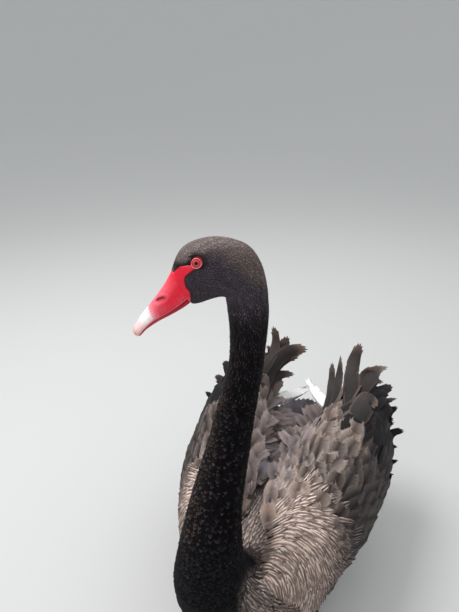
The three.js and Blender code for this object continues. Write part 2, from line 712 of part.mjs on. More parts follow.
// Rump piece behind the trunk, with the feathers that grow from it.
function tailForm() {
  const [top, bottom, half] = ['top', 'bottom', 'half'].map((name) => sizeAt(TRUNK, 'y', name, TAIL_ROOT_Y));
  const rings = [];
  for (let r = 0; r <= 4; r += 1) {
    const t = r / 4;
    const y = TAIL_ROOT_Y + GAP + RUMP.length * t;
    const [high, low] = [mix(top, RUMP.top, t), mix(bottom, RUMP.bottom, t)];
    const wide = mix(half, RUMP.half, t);
    rings.push(ringAround(V(0, y, (high + low) / 2), V(1, 0, 0), up, wide, (high - low) / 2, 24));
  }
  return join([loft(rings), ...tailTier(TAIL), ...tailTier(TAIL_COVERTS)]);
}

// The same body with nothing under the floor.
function overFloor(rings) {
  return rings.map((ring) => ring.map((p) => p.clone().setZ(Math.max(p.z, 0))));
}

function roundLimb(curve, radiusAt, steps, sides) {
  const rings = [];
  for (let r = 0; r <= steps; r += 1) {
    const t = r / steps;
    const along = curve.getTangent(t);
    const across = V(1, 0, 0).addScaledVector(along, -along.x).normalize();
    const other = V(0, 0, 0).crossVectors(along, across);
    rings.push(ringAround(curve.getPoint(t), across, other, radiusAt(t), radiusAt(t), sides));
  }
  return loft(overFloor(rings));
}

function legForm(side, grow = 0) {
  const x = side * LEG.x;
  const route = new THREE.CatmullRomCurve3([
    V(x, LEG.toeY + GAP - grow * 2, LEG.centre),
    V(x, mix(LEG.toeY, LEG.heelY, 0.5), LEG.centre),
    V(x, LEG.heelY - 8, LEG.centre + 1.4),
    V(x - side * 2, LEG.heelY + 3, LEG.centre + 11),
    V(x - side * 6, LEG.heelY - 10, LEG.centre + 28),
    V(x - side * 12, LEG.heelY - 30, LEG.centre + 48),
  ]);
  const radius = (t) => grow + (t < 0.55
    ? mix(LEG.radius, LEG.heel, THREE.MathUtils.smoothstep(t, 0.3, 0.55))
    : mix(LEG.heel, LEG.thigh, (t - 0.55) / 0.45));
  return roundLimb(route, radius, 12, 10);
}

function toePlace(side, { turn, length, root }, share) {
  const angle = THREE.MathUtils.degToRad(turn) * side;
  const reach = length * share;
  const height = mix(TOE.root, TOE.tip, share) - TOE.sink;
  return V(side * (LEG.x + root) + Math.sin(angle) * reach, LEG.toeY - Math.cos(angle) * reach, height);
}

// Three toes and the web between them as one body, flat under each toe.
function webbedToes(side) {
  const upper = [];
  const lower = [];
  for (let r = 0; r <= WEB.rows; r += 1) {
    const t = r / WEB.rows;
    upper.push([]);
    lower.push([]);
    TOES.forEach((toe, i) => {
      const place = toePlace(side, toe, t);
      const wide = mix(TOE.root, TOE.tip, t);
      [-1, -0.4, 0.4, 1].forEach((k) => {
        const spot = place.clone().setX(place.x + side * k * wide);
        const high = Math.abs(k) < 1 ? wide * 2 - TOE.sink : WEB.high;
        upper.at(-1).push(spot.clone().setZ(high));
        lower.at(-1).push(spot.clone().setZ(0));
      });
      if (i + 1 < TOES.length) {
        const reach = t * WEB.dip;
        const between = toePlace(side, toe, reach).lerp(toePlace(side, TOES[i + 1], reach), 0.5);
        upper.at(-1).push(between.clone().setZ(WEB.high - 0.6));
        lower.at(-1).push(between.clone().setZ(WEB.low));
      }
    });
  }
  return plate(upper, lower);
}

const hindToe = { turn: -118, length: TOE.hind, root: -3 };

function hindToeForm(side) {
  const raise = V(0, 0, WEB.low);
  const curve = new THREE.LineCurve3(
    toePlace(side, hindToe, 0.1).add(raise),
    toePlace(side, hindToe, 1).add(raise),
  );
  return roundLimb(curve, (t) => mix(TOE.root, TOE.tip, t) * 0.8, 2, 8);
}

function footForm(side) {
  return cut(join([webbedToes(side), hindToeForm(side)]), trunkCutter, legForm(side, GAP));
}

// One claw beyond the tip of a toe, bent down to the floor.
function clawForm(side, toe) {
  const start = toePlace(side, toe, 1);
  const ahead = start.clone().sub(toePlace(side, toe, 0.5)).normalize();
  start.addScaledVector(ahead, GAP * 1.5 + TOE.tip * Math.abs(ahead.x));
  const tip = start.clone().addScaledVector(ahead, CLAW.length).setZ(CLAW.tip + 0.4);
  const middle = start.clone().lerp(tip, 0.55).setZ(start.z - 0.2);
  const curve = new THREE.QuadraticBezierCurve3(start, middle, tip);
  return roundLimb(curve, (t) => mix(CLAW.root, CLAW.tip, t), 3, 6);
}

function part(name, body, colour, roughness) {
  const { vertProperties, triVerts } = body.getMesh();
  const geometry = new THREE.BufferGeometry();
  geometry.setAttribute('position', new THREE.BufferAttribute(new Float32Array(vertProperties), 3));
  geometry.setIndex(new THREE.BufferAttribute(new Uint32Array(triVerts), 1));
  geometry.computeVertexNormals();
  const material = new THREE.MeshStandardMaterial({ color: colour, roughness, metalness: 0 });
  const mesh = new THREE.Mesh(geometry, material);
  mesh.name = name;
  return mesh;
}

const INK = 0x1d1b1b;
const TAUPE = 0x6b5f58;

const swan = new THREE.Group();
swan.add(
  part('torso', torso, 0x4a4340, 0.9),
  part('neck_lower', neckLower, INK, 0.9),
  part('neck_middle', neckMiddle, 0x2a2624, 0.9),
  part('neck_upper', neckUpper, 0x332e2b, 0.9),
  part('head', headForm(), 0x35302e, 0.9),
  part('bill_upper', upperBill(), 0xd0142c, 0.35),
  part('bill_lower', lowerBill(), 0xb81428, 0.4),
  part('tail', tailForm(), 0x2a2726, 0.85),
);
for (const [name, side] of [['left', 1], ['right', -1]]) {
  swan.add(
    part(`eye_${name}`, eyeball(side), 0xc02018, 0.1),
    part(`wing_${name}_back`, wingForm(side, 'back'), TAUPE, 0.85),
    part(`wing_${name}_side`, wingForm(side, 'side'), TAUPE, 0.85),
    part(`primaries_${name}`, flightForm(side), 0xf2f0ec, 0.8),
    part(`leg_${name}`, cut(legForm(side), trunkCutter), INK, 0.6),
    part(`foot_${name}`, footForm(side), INK, 0.6),
  );
  [...TOES, hindToe].forEach((toe, i) => {
    swan.add(part(`claw_${name}_${i + 1}`, clawForm(side, toe), 0x141212, 0.4));
  });
}

export default swan;
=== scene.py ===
# A black swan at rest, life size, dressed over its solids. It faces -Y and its left is +X.
import math

import bpy
import numpy as np
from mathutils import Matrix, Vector
from mathutils.bvhtree import BVHTree


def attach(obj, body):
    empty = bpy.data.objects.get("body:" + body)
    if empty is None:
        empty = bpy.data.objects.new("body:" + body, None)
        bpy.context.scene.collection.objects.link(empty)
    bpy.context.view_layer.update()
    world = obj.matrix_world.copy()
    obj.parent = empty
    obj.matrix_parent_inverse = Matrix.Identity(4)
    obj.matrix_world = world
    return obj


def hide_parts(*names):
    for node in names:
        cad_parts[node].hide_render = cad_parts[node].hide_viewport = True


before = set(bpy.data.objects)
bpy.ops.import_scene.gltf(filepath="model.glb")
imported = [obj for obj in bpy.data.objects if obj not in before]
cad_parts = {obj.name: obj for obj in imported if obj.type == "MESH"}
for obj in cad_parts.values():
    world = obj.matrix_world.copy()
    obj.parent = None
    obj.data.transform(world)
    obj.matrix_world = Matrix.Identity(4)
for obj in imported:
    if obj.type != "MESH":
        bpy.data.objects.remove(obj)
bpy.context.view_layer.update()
draw = np.random.default_rng(11)

# All sizes below are in millimetres. Meshes are made in metres.
MM = 0.001
LEFT = np.array([1.0, 0.0, 0.0])
REARWARD = np.array([0.0, 1.0, 0.0])
UP = np.array([0.0, 0.0, 1.0])
SIDES = {"left": 1, "right": -1}

# The solids that the body's one skin stands for.
FLESH = ["torso", "neck_lower", "neck_middle", "neck_upper", "head"]

# Neck route, from inside the breast up to the back of the head, and the shares of it between which its
# top lies.
NECK_ROUTE = np.array([
    [-12, -148, 150], [-20, -192, 232], [-22, -194, 286], [-26, -168, 345], [-21, -147, 405],
    [-13, -138, 464], [-3, -138, 524], [9, -145, 584], [15, -155, 635], [16, -159.5, 668], [13, -161, 696],
], float)
NECK_TOP = (0.785, 0.99)

# The head's own frame: its middle between the eyes, its turn to the bird's right and its dip.
HEAD_AT = np.array([-32.9, -193.9, 736])
HEAD_TURN = math.radians(54)
HEAD_DIP = math.radians(52)
# Its axes: forward along the bill, to its left side, and up through the crown.
HEADING = np.array([-math.sin(HEAD_TURN), -math.cos(HEAD_TURN), 0])
FORWARD = HEADING * math.cos(HEAD_DIP) - UP * math.sin(HEAD_DIP)
LEFTWARD = np.array([-HEADING[1], HEADING[0], 0])
CROWNWARD = np.cross(FORWARD, LEFTWARD)
HEAD_AXES = np.array([FORWARD, LEFTWARD, CROWNWARD])

# Head outline in that frame, as [forward, up]: crown and throat, from the bill to the neck, and half widths.
CROWN = np.array([
    [28, 8], [14, 13], [0, 14.6], [-14, 8.6], [-29, -6], [-39, -26], [-42, -46], [-33, -69], [-14, -93],
])
THROAT = np.array([
    [44, -30.6], [38.5, -36], [32.5, -40.3], [26, -44.9], [21, -49.4], [18.4, -52.7], [17.4, -55.2],
    [19, -58.8], [27, -66],
])
HEAD_HALF = [15, 18.5, 22, 24.5, 25.5, 26, 26, 25.5, 24.5]
# The bare face's upper edge, from the eye to the ridge of the bill, and its lower edge, to the chin.
FACE_TOP = np.array([[3.9, 0.8], [7.3, 5.1], [12.2, 8.4], [16.5, 10.8], [22.2, 11.6], [26, 12], [27, 30]])
FACE_LOW = np.array([
    [4, -3], [6.9, -2.4], [9.2, -1.6], [13.9, -0.9], [18.3, -0.6], [22.6, -2.7], [27.2, -8.1], [29.3, -14.8],
    [34.7, -20.1], [40, -24.5], [47, -27.5], [60, -30],
])
# The bill from the face forward: place along it, ridge, mouth line, lower edge and half width.
BILL = np.array([
    [24, 8.6, -17.6, -27, 15.4],
    [36, 6.8, -17.4, -27, 15.2],
    [48, 6, -14.8, -24, 14.2],
    [62, 6, -9.8, -17.8, 13],
    [76, 6.6, -3.4, -10.6, 12],
    [90, 6.6, -0.4, -5, 10.8],
    [98, 5.4, -0.8, -4, 8.8],
])
BILL_TIP = {"f": 104.2, "up": 0.4}
NOSTRIL = {"f": 54.7, "up": 3.4, "long": 5.6, "tall": 1.7, "deep": 2.6, "lean": math.radians(22)}
EYE = {"side": 17.2, "up": -1.3, "tilt": math.radians(22), "radius": 6.0, "iris": 3.6, "pupil": 1.8}
# Across a lid, from the eyeball out to the skin: reach from the eye's middle, height over what is
# beneath, and share of its pale colour, which is partly a painted highlight.
LID = np.array([
    [3.3, -0.5, 0], [3.6, 0.1, 0], [3.95, 0.35, 0], [4.3, 0.8, 0.2], [4.6, 0.75, 0.3], [4.85, 0.4, 0.1],
    [5.1, 0.5, 0.9], [5.35, 0.4, 0.8], [5.6, 0.1, 0], [6.2, -0.9, 0],
])

# Cross-sections of one folded, lifted wing from shoulder to rear: place along the body, then x and z of its
# inner edge, height of its crest, x and z of its outer edge, and x and z of its lower edge.
WING = np.array([
    [-172, 46, 232, 240, 82, 200, 78, 168],
    [-120, 36, 244, 268, 122, 194, 116, 134],
    [-60, 16, 252, 292, 158, 190, 142, 110],
    [0, 10, 250, 308, 184, 192, 156, 104],
    [70, 12, 250, 320, 200, 197, 164, 106],
    [140, 34, 258, 326, 206, 206, 166, 118],
    [205, 62, 264, 322, 198, 218, 160, 146],
])
# How far in the right wing lies, thickness of a wing's body at its front and rear, and how deep it lies
# under its coat.
RIGHT_WING_IN = 0.93
WING_THICK = (22, 7)
WING_COAT = 4.5
# How far the wing's front is sunk into the breast, and the share of its length over which it rises.
WING_SINK = {"inward": 16, "down": 30, "over": 0.2}

# Curled rear feathers of each wing: root on the wing as shares along and across, place of the tip,
# the way the tip points, half width, twist, and how dark the feather is.
CURLS = {
    "left": [
        (0.86, 0.06, 52, 322, 320, -0.1, 0.2, 1.0, 9, -0.5, 0.0),
        (0.86, 0.13, 70, 312, 348, 0, 0.1, 1.0, 13, 0.4, 0.0),
        (0.84, 0.20, 84, 286, 330, -0.3, -0.2, 1.0, 12, 0.8, 0.0),
        (0.87, 0.27, 110, 300, 394, 0.3, -0.1, 1.0, 14, -0.5, 0.0),
        (0.82, 0.32, 112, 268, 338, 0.5, -0.9, 0.1, 16, 0.2, 0.0),
        (0.87, 0.38, 172, 290, 354, 1.0, 0, 0.25, 14, 0.5, 0.0),
        (0.85, 0.42, 146, 262, 362, 0.7, -0.4, 0.6, 12, -0.7, 0.0),
        (0.72, 0.40, 160, 184, 322, 0.7, -0.7, -1.0, 21, 0.1, 0.0),
        (0.83, 0.48, 168, 272, 326, 1.0, -0.3, -0.1, 15, 0.6, 0.1),
        (0.85, 0.52, 200, 270, 296, 1.0, -0.1, 0.5, 9, 0.9, 0.3),
        (0.80, 0.55, 176, 236, 300, 0.8, -0.7, -0.2, 14, -0.3, 0.5),
        (0.82, 0.60, 203, 240, 298, 0.7, -0.2, 0.9, 8, 0.4, 1.0),
        (0.78, 0.62, 200, 224, 274, 0.9, -0.5, 0.3, 11, 0.2, 1.0),
        (0.76, 0.66, 224, 226, 252, 1.0, -0.3, 0.5, 9, 0.3, 1.0),
        (0.76, 0.70, 216, 204, 226, 1.0, -0.4, 0.5, 8, -0.2, 1.0),
        (0.72, 0.74, 222, 200, 196, 0.9, -0.2, 0.9, 7, 0.3, 1.0),
        (0.66, 0.78, 218, 176, 178, 1.0, -0.3, 0.7, 7, 0.2, 1.0),
        (0.83, 0.70, 204, 262, 240, 0.8, 0, 0.5, 9, 0.4, 0.8),
    ],
    "right": [
        (0.87, 0.06, -20, 304, 330, 0.9, 0, 0.2, 15, -0.4, 0.1),
        (0.87, 0.12, -2, 300, 353, 1.0, -0.1, 0.15, 17, -0.6, 0.0),
        (0.85, 0.18, -50, 300, 378, 0.3, -0.1, 1.0, 15, 0.3, 0.0),
        (0.87, 0.22, -86, 300, 396, -0.4, -0.1, 1.0, 11, 0.7, 0.2),
        (0.84, 0.10, -24, 282, 292, 0.6, 0.2, -0.1, 12, 0.3, 0.6),
        (0.83, 0.28, -92, 276, 352, -0.3, -0.7, 0.7, 15, -0.3, 0.0),
        (0.86, 0.34, -124, 292, 366, -0.3, 0, 1.0, 13, 0.5, 0.0),
        (0.85, 0.41, -148, 280, 340, -0.8, -0.2, 0.6, 13, -0.4, 0.1),
        (0.80, 0.40, -150, 226, 322, -0.8, -0.8, -0.3, 17, 0.2, 0.0),
        (0.83, 0.50, -172, 256, 306, -1.0, -0.2, 0.2, 12, 0.5, 0.2),
        (0.82, 0.55, -190, 204, 294, -0.9, -0.4, 0.4, 10, 0.3, 0.3),
        (0.78, 0.60, -196, 222, 268, -1.0, -0.3, 0.6, 8, 0.3, 1.0),
        (0.76, 0.66, -214, 202, 246, -0.9, -0.2, 0.7, 8, -0.3, 0.9),
        (0.75, 0.71, -206, 196, 220, -1.0, -0.3, 0.6, 7, 0.3, 1.0),
        (0.70, 0.76, -206, 182, 192, -0.9, -0.2, 0.8, 7, -0.2, 1.0),
    ],
}

# Rump behind the trunk, from its front to its rear end: place, upper and lower edge, and half width.
RUMP = {"y": (238, 284), "top": (172, 162), "bottom": (98, 124), "half": (52, 38)}
# Tiers of the tail fan: count, length and half width of its feathers, spread in degrees, half width and
# height of their roots, and rise of their tips.
TAIL_TIERS = [(15, 124, 13, 62, 26, 150, 8), (12, 84, 12, 48, 20, 160, 4)]

# Rows of the body's sheet: on the head, from just behind the bill, on the neck between two shares of its
# route, in a fan about a line behind the neck's base, and on the trunk.
HEAD_START = 0.02
HEAD_ROWS = 36
NECK_SHARES = (0.965, 0.305)
NECK_ROWS = 84
FAN_REACH = 112
FAN_ROWS = 34
TRUNK_ROWS = 60
# Distances that lie outside the body, from the fan's line and up or down from the trunk.
FAN_OUTSIDE = 900
TRUNK_OUTSIDE = 600
# Rows where the coats of the head, the upper and lower neck and the breast end.
COAT_ENDS = (36, 78, 122, 156)

# Cells in metres in which the skins of the body and the legs are formed, and passes that smooth them.
BODY_SKIN = (0.0026, 9)
LEG_SKIN = (0.0011, 4)
# Thickness of a vane that stands free, the least height over the floor, and the size of a feather's patch.
VANE_THICK = 0.5
CLEARANCE = 0.4
PATCH = 0.003

# Colours, as linear red, green and blue.
INK = np.array([0.005, 0.004, 0.0065])
CHARCOAL = np.array([0.022, 0.018, 0.022])
FACE_GREY = np.array([0.096, 0.080, 0.097])
CROWN_BROWN = np.array([0.300, 0.240, 0.225])
BROWN_BLACK = np.array([0.060, 0.045, 0.040])
TAUPE = np.array([0.205, 0.146, 0.124])
SLATE = np.array([0.050, 0.043, 0.052])
GREY = np.array([0.200, 0.165, 0.168])
CREAM = np.array([0.66, 0.53, 0.46])
PALE_BROWN = np.array([0.30, 0.205, 0.165])
WHITE = np.array([0.85, 0.84, 0.81])
CRIMSON = np.array([0.82, 0.007, 0.034])
DEEP_RED = np.array([0.30, 0.004, 0.014])
PINK = np.array([0.82, 0.20, 0.25])
NAIL = np.array([0.72, 0.36, 0.31])
BAND = np.array([0.88, 0.80, 0.79])
PALE_PINK = np.array([0.86, 0.60, 0.58])
IRIS = np.array([0.80, 0.09, 0.10])


def unit(a):
    return a / np.maximum(np.linalg.norm(a, axis=-1, keepdims=True), 1e-9)


def mix(a, b, t):
    return a + (b - a) * t


def ease(low, high, x):
    """0 below low, 1 above high, smooth between."""
    t = np.clip((x - low) / (high - low), 0, 1)
    return t * t * (3 - 2 * t)


def turns(count):
    """Angles in equal steps once round."""
    return np.linspace(0, 2 * math.pi, count, endpoint=False)


def hermite(keys, values, x):
    """Smooth values between the rows of a table, straight on past its ends."""
    keys = np.asarray(keys, float)
    x = np.asarray(x, float)
    flat = x.ravel()
    values = np.broadcast_to(np.asarray(values, float).reshape(len(keys), -1), (len(keys), flat.size))
    slope = np.empty(values.shape)
    slope[1:-1] = (values[2:] - values[:-2]) / (keys[2:] - keys[:-2])[:, None]
    slope[0] = (values[1] - values[0]) / (keys[1] - keys[0])
    slope[-1] = (values[-1] - values[-2]) / (keys[-1] - keys[-2])
    i = np.clip(np.searchsorted(keys, flat, side="right") - 1, 0, len(keys) - 2)
    n = np.arange(flat.size)
    span = keys[i + 1] - keys[i]
    t = (flat - keys[i]) / span
    a, b = values[i, n], values[i + 1, n]
    curved = mix(a, b, t * t * (3 - 2 * t))
    curved += slope[i, n] * span * t * (1 - t) ** 2 - slope[i + 1, n] * span * t * t * (1 - t)
    return np.where((t < 0) | (t > 1), mix(a, b, t), curved).reshape(x.shape)


def columns_at(table, place):
    """Smooth values of a table's other columns at places along its first one."""
    return [hermite(table[:, 0], column, place) for column in table.T[1:]]


def layered(colour, layers):
    """A colour with others laid over it in turn, each with its share at every place."""
    for layer, share in layers:
        colour = mix(colour, layer, share[..., None])
    return colour


def in_head(f, s, u):
    """Points of the model from forward, leftward and upward places in the head's frame."""
    return HEAD_AT + np.stack(np.broadcast_arrays(f, s, u), -1) @ HEAD_AXES


def to_head(points):
    return (points - HEAD_AT) @ HEAD_AXES.T


def head_outline(t):
    """Crown and throat points of sections of the head, from the bill's base, 0, to the neck, 1."""
    keys = np.linspace(0, 1, len(CROWN))
    lines = ([hermite(keys, column, t) for column in line.T] for line in (CROWN, THROAT))
    return [in_head(forward, 0, up) for forward, up in lines]


def head_surface(t, angle, inset=0.0):
    """Points on the head. The angle goes from the crown over its left side to the throat."""
    top, low = head_outline(t)
    keys = np.linspace(0, 1, len(HEAD_HALF))
    half = (hermite(keys, HEAD_HALF, t) - inset)[..., None]
    tall = np.linalg.norm(top - low, axis=-1, keepdims=True) / 2 - np.asarray(inset)[..., None]
    rise = unit(top - low) * tall * np.cos(angle)[..., None]
    return (top + low) / 2 + rise + LEFTWARD * half * np.sin(angle)[..., None]


def bare_margin(points):
    """How far points of the head lie inside its bare face, in millimetres, and below 0 outside it."""
    f, s, u = np.moveaxis(to_head(points), -1, 0)
    top = np.interp(f, *FACE_TOP.T)
    low = np.interp(f, *FACE_LOW.T)
    lore = np.minimum.reduce([top - u, u - low, f - 26.5 + 0.1 * s * s, f - 3.4])
    eye = np.where(np.abs(s) > 8, 5.1 - np.hypot(f, u + 0.5), -9.0)
    return np.maximum(lore, eye)


# Shaders

def new_material(name, roughness, specular=0.5):
    material = bpy.data.materials.new(name)
    material.use_nodes = True
    shader = material.node_tree.nodes["Principled BSDF"]
    shader.inputs["Roughness"].default_value = roughness
    shader.inputs["Specular IOR Level"].default_value = specular
    return material, material.node_tree, shader


def put(tree, kind, inputs=None, **settings):
    """A shader node with its settings, and its inputs linked or set."""
    node = tree.nodes.new(kind)
    for name, value in settings.items():
        setattr(node, name, value)
    for name, value in (inputs or {}).items():
        if isinstance(value, bpy.types.NodeSocket):
            tree.links.new(value, node.inputs[name])
        else:
            node.inputs[name].default_value = value
    return node


def calc(tree, operation, first, second=0.0):
    node = put(tree, "ShaderNodeMath", {0: first, 1: second}, operation=operation)
    return node.outputs[0]


def linear(tree, value, slope, start):
    """A number times a slope, plus a start."""
    node = put(tree, "ShaderNodeMath", {0: value, 1: slope, 2: start}, operation="MULTIPLY_ADD")
    return node.outputs[0]


def noise(tree, scale, detail=3.0):
    place = put(tree, "ShaderNodeTexCoord").outputs["Object"]
    return put(tree, "ShaderNodeTexNoise", {"Vector": place, "Scale": scale, "Detail": detail}).outputs["Fac"]


def dress(tree, shader, colour, share, height, distance):
    """Gives a shader a colour times a share that varies over the surface, and fine relief."""
    varied = put(tree, "ShaderNodeVectorMath", {0: colour, "Scale": share}, operation="SCALE")
    relief = put(tree, "ShaderNodeBump", {"Height": height, "Distance": distance, "Strength": 1.0})
    tree.links.new(varied.outputs[0], shader.inputs["Base Color"])
    tree.links.new(relief.outputs[0], shader.inputs["Normal"])


def feather_material(name, barbs, contrast, roughness=0.7, specular=0.12):
    """Painted vanes with fine barbs slanting from the shaft. Vane holds the place across and along."""
    material, tree, shader = new_material(name, roughness, specular)
    paint = put(tree, "ShaderNodeAttribute", attribute_name="paint").outputs["Color"]
    vane = put(tree, "ShaderNodeAttribute", attribute_name="vane").outputs["Vector"]
    across, along, _ = put(tree, "ShaderNodeSeparateXYZ", {0: vane}).outputs
    out = calc(tree, "ABSOLUTE", across)
    slant = calc(tree, "SUBTRACT", along, calc(tree, "MULTIPLY", out, 0.22))
    place = linear(tree, noise(tree, 90.0), 0.05, slant)
    wave = calc(tree, "SINE", calc(tree, "MULTIPLY", place, barbs * 2 * math.pi))
    rim = calc(tree, "POWER", calc(tree, "MAXIMUM", out, along), 3.0)
    depth = calc(tree, "MULTIPLY", linear(tree, rim, 0.9, 0.3), contrast)
    shade = linear(tree, wave, depth, 1.0)
    mottle = linear(tree, noise(tree, 260.0), 0.5, 0.75)
    dress(tree, shader, paint, calc(tree, "MULTIPLY", shade, mottle), wave, 0.00012)
    return material


def painted_material(name, roughness, grain, depth, specular):
    """A painted surface with fine grain."""
    material, tree, shader = new_material(name, roughness, specular)
    paint = put(tree, "ShaderNodeAttribute", attribute_name="paint").outputs["Color"]
    grains = noise(tree, grain, 4.0)
    dress(tree, shader, paint, linear(tree, grains, 0.4, 0.8), grains, depth)
    return material


def scaly_material(name, colour, roughness):
    """Dark leg skin with small plates."""
    material, tree, shader = new_material(name, roughness, 0.45)
    place = put(tree, "ShaderNodeTexCoord").outputs["Object"]
    cells = put(tree, "ShaderNodeTexVoronoi", {"Vector": place, "Scale": 420.0}, feature="DISTANCE_TO_EDGE")
    edge = calc(tree, "MINIMUM", calc(tree, "MULTIPLY", cells.outputs["Distance"], 4.0), 1.0)
    mottle = linear(tree, noise(tree, 60.0), 0.6, 0.7)
    base = put(tree, "ShaderNodeRGB").outputs[0]
    base.default_value = (*colour, 1)
    dress(tree, shader, base, calc(tree, "MULTIPLY", linear(tree, edge, 0.5, 0.6), mottle), edge, 0.0006)
    return material


# Meshes

def placed(name, data):
    """A new object in the scene."""
    thing = bpy.data.objects.new(name, data)
    bpy.context.scene.collection.objects.link(thing)
    return thing


def mesh_piece(name, points, faces, material, paint=None, vane=None, patch=None):
    """One piece of the swan from points in millimetres. Each entry of faces holds 3 or 4 columns."""
    mesh = bpy.data.meshes.new(name)
    points = points.reshape(-1, 3)
    corners = np.concatenate([part.ravel() for part in faces]).astype(np.int32)
    sizes = np.concatenate([np.full(len(part), part.shape[1]) for part in faces])
    mesh.vertices.add(len(points))
    mesh.vertices.foreach_set("co", (points * MM).astype(np.float32).ravel())
    mesh.loops.add(len(corners))
    mesh.loops.foreach_set("vertex_index", corners)
    mesh.polygons.add(len(sizes))
    mesh.polygons.foreach_set("loop_start", (np.cumsum(sizes) - sizes).astype(np.int32))
    mesh.polygons.foreach_set("use_smooth", np.ones(len(sizes), bool))
    mesh.update(calc_edges=True)
    if paint is not None:
        rgba = np.concatenate([np.clip(paint.reshape(-1, 3), 0, 1), np.ones((len(points), 1))], 1)
        mesh.attributes.new("paint", "FLOAT_COLOR", "POINT").data.foreach_set("color", rgba.ravel())
    if vane is not None:
        mesh.attributes.new("vane", "FLOAT_VECTOR", "POINT").data.foreach_set("vector", vane.ravel())
    if patch is not None:
        mesh.uv_layers.new(name="OFBake").data.foreach_set("uv", patch[corners].ravel())
    mesh.materials.append(material)
    piece = placed(name, mesh)
    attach(piece, "root")
    return piece


def grid_faces(rows, columns, wraps=False):
    """Quads over a grid of points, closed round its columns where it wraps."""
    r, c = np.meshgrid(np.arange(rows - 1), np.arange(columns if wraps else columns - 1), indexing="ij")
    after = (c + 1) % columns
    quads = [r * columns + c, r * columns + after, (r + 1) * columns + after, (r + 1) * columns + c]
    return np.stack(quads, -1).reshape(-1, 4)


def rows_of(items, name, kind=np.float32):
    """One property of a mesh's items, three numbers for each."""
    out = np.empty(len(items) * 3, kind)
    items.foreach_get(name, out)
    return out.reshape(-1, 3)


def mesh_parts(mesh):
    """Points in millimetres and triangles of a mesh."""
    mesh.calc_loop_triangles()
    return rows_of(mesh.vertices, "co") / MM, rows_of(mesh.loop_triangles, "vertices", np.int32)


def smooth_skin(points, triangles, voxel, passes):
    """Points, triangles and normals of one smooth closed skin round closed shapes."""
    mesh = bpy.data.meshes.new("work")
    mesh.from_pydata((points * MM).tolist(), [], triangles.tolist())
    work = placed("work", mesh)
    remesh = work.modifiers.new("remesh", "REMESH")
    remesh.mode = "VOXEL"
    remesh.voxel_size = voxel
    smooth = work.modifiers.new("smooth", "SMOOTH")
    smooth.factor = 0.5
    smooth.iterations = passes
    bpy.context.view_layer.update()
    shaped = work.evaluated_get(bpy.context.evaluated_depsgraph_get()).to_mesh()
    normals = rows_of(shaped.vertex_normals, "vector")
    points, triangles = mesh_parts(shaped)
    bpy.data.objects.remove(work)
    bpy.data.meshes.remove(mesh)
    return points, triangles, normals


def joined(parts):
    """Several meshes as one list of points and one of triangles."""
    points, triangles, start = [], [], 0
    for more_points, more_triangles in parts:
        points.append(more_points)
        triangles.append(more_triangles + start)
        start += len(more_points)
    return np.concatenate(points), np.concatenate(triangles)


def capped_tube(rings):
    """Closed triangles round rings of points, with a fan over each end, facing outward."""
    rows, columns = rings.shape[:2]
    points = np.concatenate([rings.reshape(-1, 3), [rings[0].mean(0), rings[-1].mean(0)]])
    quads = grid_faces(rows, columns, True)
    around = np.arange(columns)
    after = (around + 1) % columns
    first = np.stack([np.full(columns, rows * columns), after, around], -1)
    last_row = (rows - 1) * columns
    last = np.stack([np.full(columns, rows * columns + 1), last_row + around, last_row + after], -1)
    triangles = np.concatenate([quads[:, [0, 1, 2]], quads[:, [0, 2, 3]], first, last])
    a, b, c = (points[triangles[:, k]] - points.mean(0) for k in range(3))
    inside_out = (a * np.cross(b, c)).sum() < 0
    return points, triangles[:, ::-1] if inside_out else triangles


# Sheets of skin with a lie, on which feathers grow

class Sheet:
    """A surface on a grid. Rows run with the lie of the feathers from 0 to 1, columns across it."""

    def __init__(self, points, wraps, outward):
        self.points = points
        self.wraps = wraps
        self.rows, self.columns = points.shape[:2]
        along = np.gradient(points, axis=0)
        if wraps:
            across = (np.roll(points, -1, 1) - np.roll(points, 1, 1)) / 2
        else:
            across = np.gradient(points, axis=1)
        normals = unit(np.cross(across, along))
        if (normals * outward).sum() < 0:
            normals = -normals
        self.normals = normals
        self.along = np.linalg.norm(along, axis=2) * (self.rows - 1)
        self.across = np.linalg.norm(across, axis=2) * (self.columns if wraps else self.columns - 1)

    def read(self, grid, u, v):
        """Value of a grid at places on the sheet, straight on past its open edges."""
        x = u * (self.rows - 1)
        i = np.clip(np.floor(x).astype(int), 0, self.rows - 2)
        s = x - i
        if self.wraps:
            y = np.mod(v, 1) * self.columns
            j = np.floor(y).astype(int) % self.columns
            t = y - np.floor(y)
            after = (j + 1) % self.columns
        else:
            y = v * (self.columns - 1)
            j = np.clip(np.floor(y).astype(int), 0, self.columns - 2)
            t = y - j
            after = j + 1
        if grid.ndim == 3:
            s, t = s[..., None], t[..., None]
        near = mix(grid[i, j], grid[i, after], t)
        far = mix(grid[i + 1, j], grid[i + 1, after], t)
        return mix(near, far, s)

    def at(self, u, v):
        """Places and outward directions on the sheet."""
        return self.read(self.points, u, v), self.read(self.normals, u, v)


